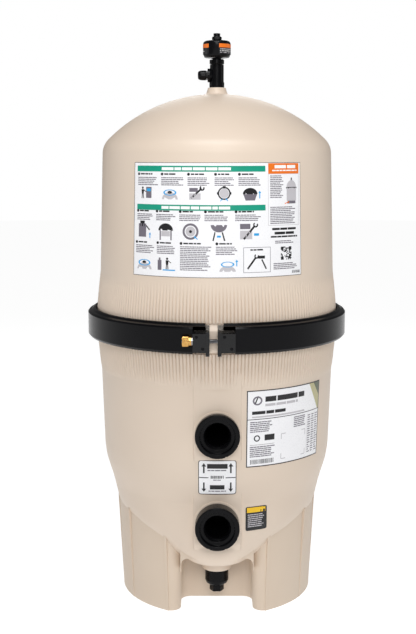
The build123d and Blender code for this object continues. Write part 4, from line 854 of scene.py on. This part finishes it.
def onKnob(start):
    def place(u, t, lift):
        turn = np.radians(start + u / knobLabel["perDegree"])
        radius = knobLabel["radius"] + lift + 0 * u
        return np.stack([radius * np.sin(turn), -radius * np.cos(turn), knobLabel["topZ"] - t], -1)
    return place


for name, start, stop, seed in (("knobWrapFront", 8, 118, 51), ("knobWrapBack", -140, -35, 57)):
    w, h = (stop - start) * knobLabel["perDegree"], knobLabel["high"]
    wrap = sheetPiece(name, [plate("black", [(0, 0), (w, 0), (w, h), (0, h)], 1.4)], onKnob(start), 0.03, 0.25,
                      "relief_knob", allInks)
    if seed == 51:
        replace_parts(wrap, "label_knob")
    art = [plate("orange", [(0.6, 0.6), (w - 0.6, 0.6), (w - 0.6, knobLabel["bandHigh"]),
                            (0.6, knobLabel["bandHigh"])], 1.4)]
    art += words("pale", 3, knobLabel["bandHigh"] + 2.2, w * 0.6, 2.2, seed)
    art += words("white", 3, knobLabel["bandHigh"] + 6.4, w * 0.75, 1.6, seed + 1)
    art += words("pale", 3, knobLabel["bandHigh"] + 10.0, w * 0.5, 1.6, seed + 2)
    sheetPiece(name + "Print", art, onKnob(start), 0.28, labelSize["print"], "relief_knob",
               allInks)
print("knob wraps made")

# ---- carried-over parts keep their shape and take these finishes
carried = {
    "baseBeige": ["base_skirt"],
    "blackCover": ["clamp_cover_left", "clamp_cover_right", "clamp_cover_rear", "clamp_rivets_left",
                   "clamp_rivets_right"],
    "blackCast": ["clamp_lug_left", "clamp_lug_right"],
    # band and pins take the stainless finish whose darkened colour is a painted dark reflection
    "bandSteelPaintedDark": ["clamp_band_left", "clamp_band_right", "clamp_band_rear", "clamp_pins"],
    "zincSteel": ["clamp_washer", "tie_rod", "tie_nut", "valve_spring"],
    "valvePlastic": ["valve_body", "valve_sleeve"],
    # outlet_elbow and inlet_diffuser inside the tank take this black so the port bores read dark: painted shade
    # inside the ports
    "blackMoulding": ["drain_plug", "outlet_locknut", "inlet_locknut", "outlet_elbow", "inlet_diffuser"],
    "rubber": ["tank_seal", "drain_seal", "gauge_seal", "vent_seal", "valve_gasket", "standpipe_seal"],
    "gridCloth": [f"grid_{i}" for i in range(1, 8)] + ["grid_partial"],
    "whiteMoulding": ["manifold", "standpipe", "grid_spacer", "bleed_tube",
                      "bleed_screen"],
}
for finishName, nodeNames in carried.items():
    for nodeName in nodeNames:
        node = nodes[nodeName]
        node.data.materials.clear()
        node.data.materials.append(finishes[finishName])
print("carried-over parts finished")

# ---- floor, light, camera
floorSize = {"radius": 14000.0, "rings": 9, "columns": 64}
floorMaterial = grained("paleFloor", {"light": "#8E8E8E", "dark": "#8A8A8A", "driftMm": 900, "grainMm": 30,
                                      "reliefMm": 0.05, "bump": 0.02, "rough": (0.7, 0.8),
                                      "fixed": {"Emission Color": toLinear("#FFFFFF"), "Emission Strength": 0.93}})
# a round sheet: rings (radius cos turn, radius sin turn), closed in the middle by one face
ringRadius = np.linspace(0.04, 1, floorSize["rings"])[:, None] * floorSize["radius"]
ringTurn = np.linspace(0, 2 * np.pi, floorSize["columns"], endpoint=False)[None, :]
sheet = np.stack([ringRadius * np.cos(ringTurn), ringRadius * np.sin(ringTurn), 0 * ringRadius * ringTurn], -1)
floorMesh = bpy.data.meshes.new("studioFloor")
floorFaces = gridFaces(floorSize["rings"], floorSize["columns"], False)[:, ::-1].tolist()
floorMesh.from_pydata((sheet.reshape(-1, 3) * mm).tolist(), [], floorFaces + [list(range(floorSize["columns"]))])
floorMesh.materials.append(floorMaterial)
studioFloor = bpy.data.objects.new("studioFloor", floorMesh)
bpy.context.scene.collection.objects.link(studioFloor)

# soft room: dim as a light, white as a backdrop
roomLight = {"fill": 0.12, "backdrop": 1.0}
world = bpy.data.worlds.new("softRoom")
world.use_nodes = True
room = world.node_tree
room.nodes.clear()
seen = addNode(room, "LightPath").outputs["Is Camera Ray"]
fill = addNode(room, "Background", {"Color": toLinear("#FFFFFF"), "Strength": roomLight["fill"]})
backdrop = addNode(room, "Background", {"Color": toLinear("#FFFFFF"), "Strength": roomLight["backdrop"]})
either = addNode(room, "MixShader", {0: seen, 1: fill.outputs[0], 2: backdrop.outputs[0]})
addNode(room, "OutputWorld", {"Surface": either.outputs[0]})
bpy.context.scene.world = world
bpy.context.scene.view_settings.view_transform = "Standard"

lamps = {
    "overhead": {"place": (0.0, -1.25, 3.0), "aim": (0, -0.1, 0.7), "size": (1.3, 0.8), "power": 38},
    "frontKey": {"place": (0.1, -3.4, 2.3), "aim": (0, 0, 0.9), "size": (1.4, 1.2), "power": 42},
    "leftBox": {"place": (-2.7, 0.6, 1.5), "aim": (0, 0, 0.8), "size": (0.9, 1.8), "power": 5},
    "rightBox": {"place": (2.7, 0.6, 1.5), "aim": (0, 0, 0.8), "size": (0.9, 1.8), "power": 5},
    "backFill": {"place": (0.0, 3.2, 2.3), "aim": (0, 0, 0.7), "size": (1.6, 1.2), "power": 16},
}
for name, lamp in lamps.items():
    light = bpy.data.lights.new(name, "AREA")
    light.shape = "RECTANGLE"
    light.size, light.size_y = lamp["size"]
    light.energy = lamp["power"]
    holder = bpy.data.objects.new(name, light)
    bpy.context.scene.collection.objects.link(holder)
    place, aim = np.array(lamp["place"]), np.array(lamp["aim"])
    holder.location = place
    ahead = (aim - place) / np.linalg.norm(aim - place)
    holder.rotation_euler = (math.acos(-ahead[2]), 0, math.atan2(ahead[1], ahead[0]) - math.pi / 2)

view = {"place": (-0.020, -2.544, 1.025), "pitch": 8.62, "lens": 62.46}
camera = bpy.data.cameras.new("frontCamera")
camera.lens, camera.sensor_width, camera.sensor_fit = view["lens"], 36.0, "AUTO"
cameraHolder = bpy.data.objects.new("frontCamera", camera)
cameraHolder.location = view["place"]
cameraHolder.rotation_euler = (math.radians(90 - view["pitch"]), 0, 0)
bpy.context.scene.collection.objects.link(cameraHolder)
bpy.context.scene.camera = cameraHolder

print("scene ready")
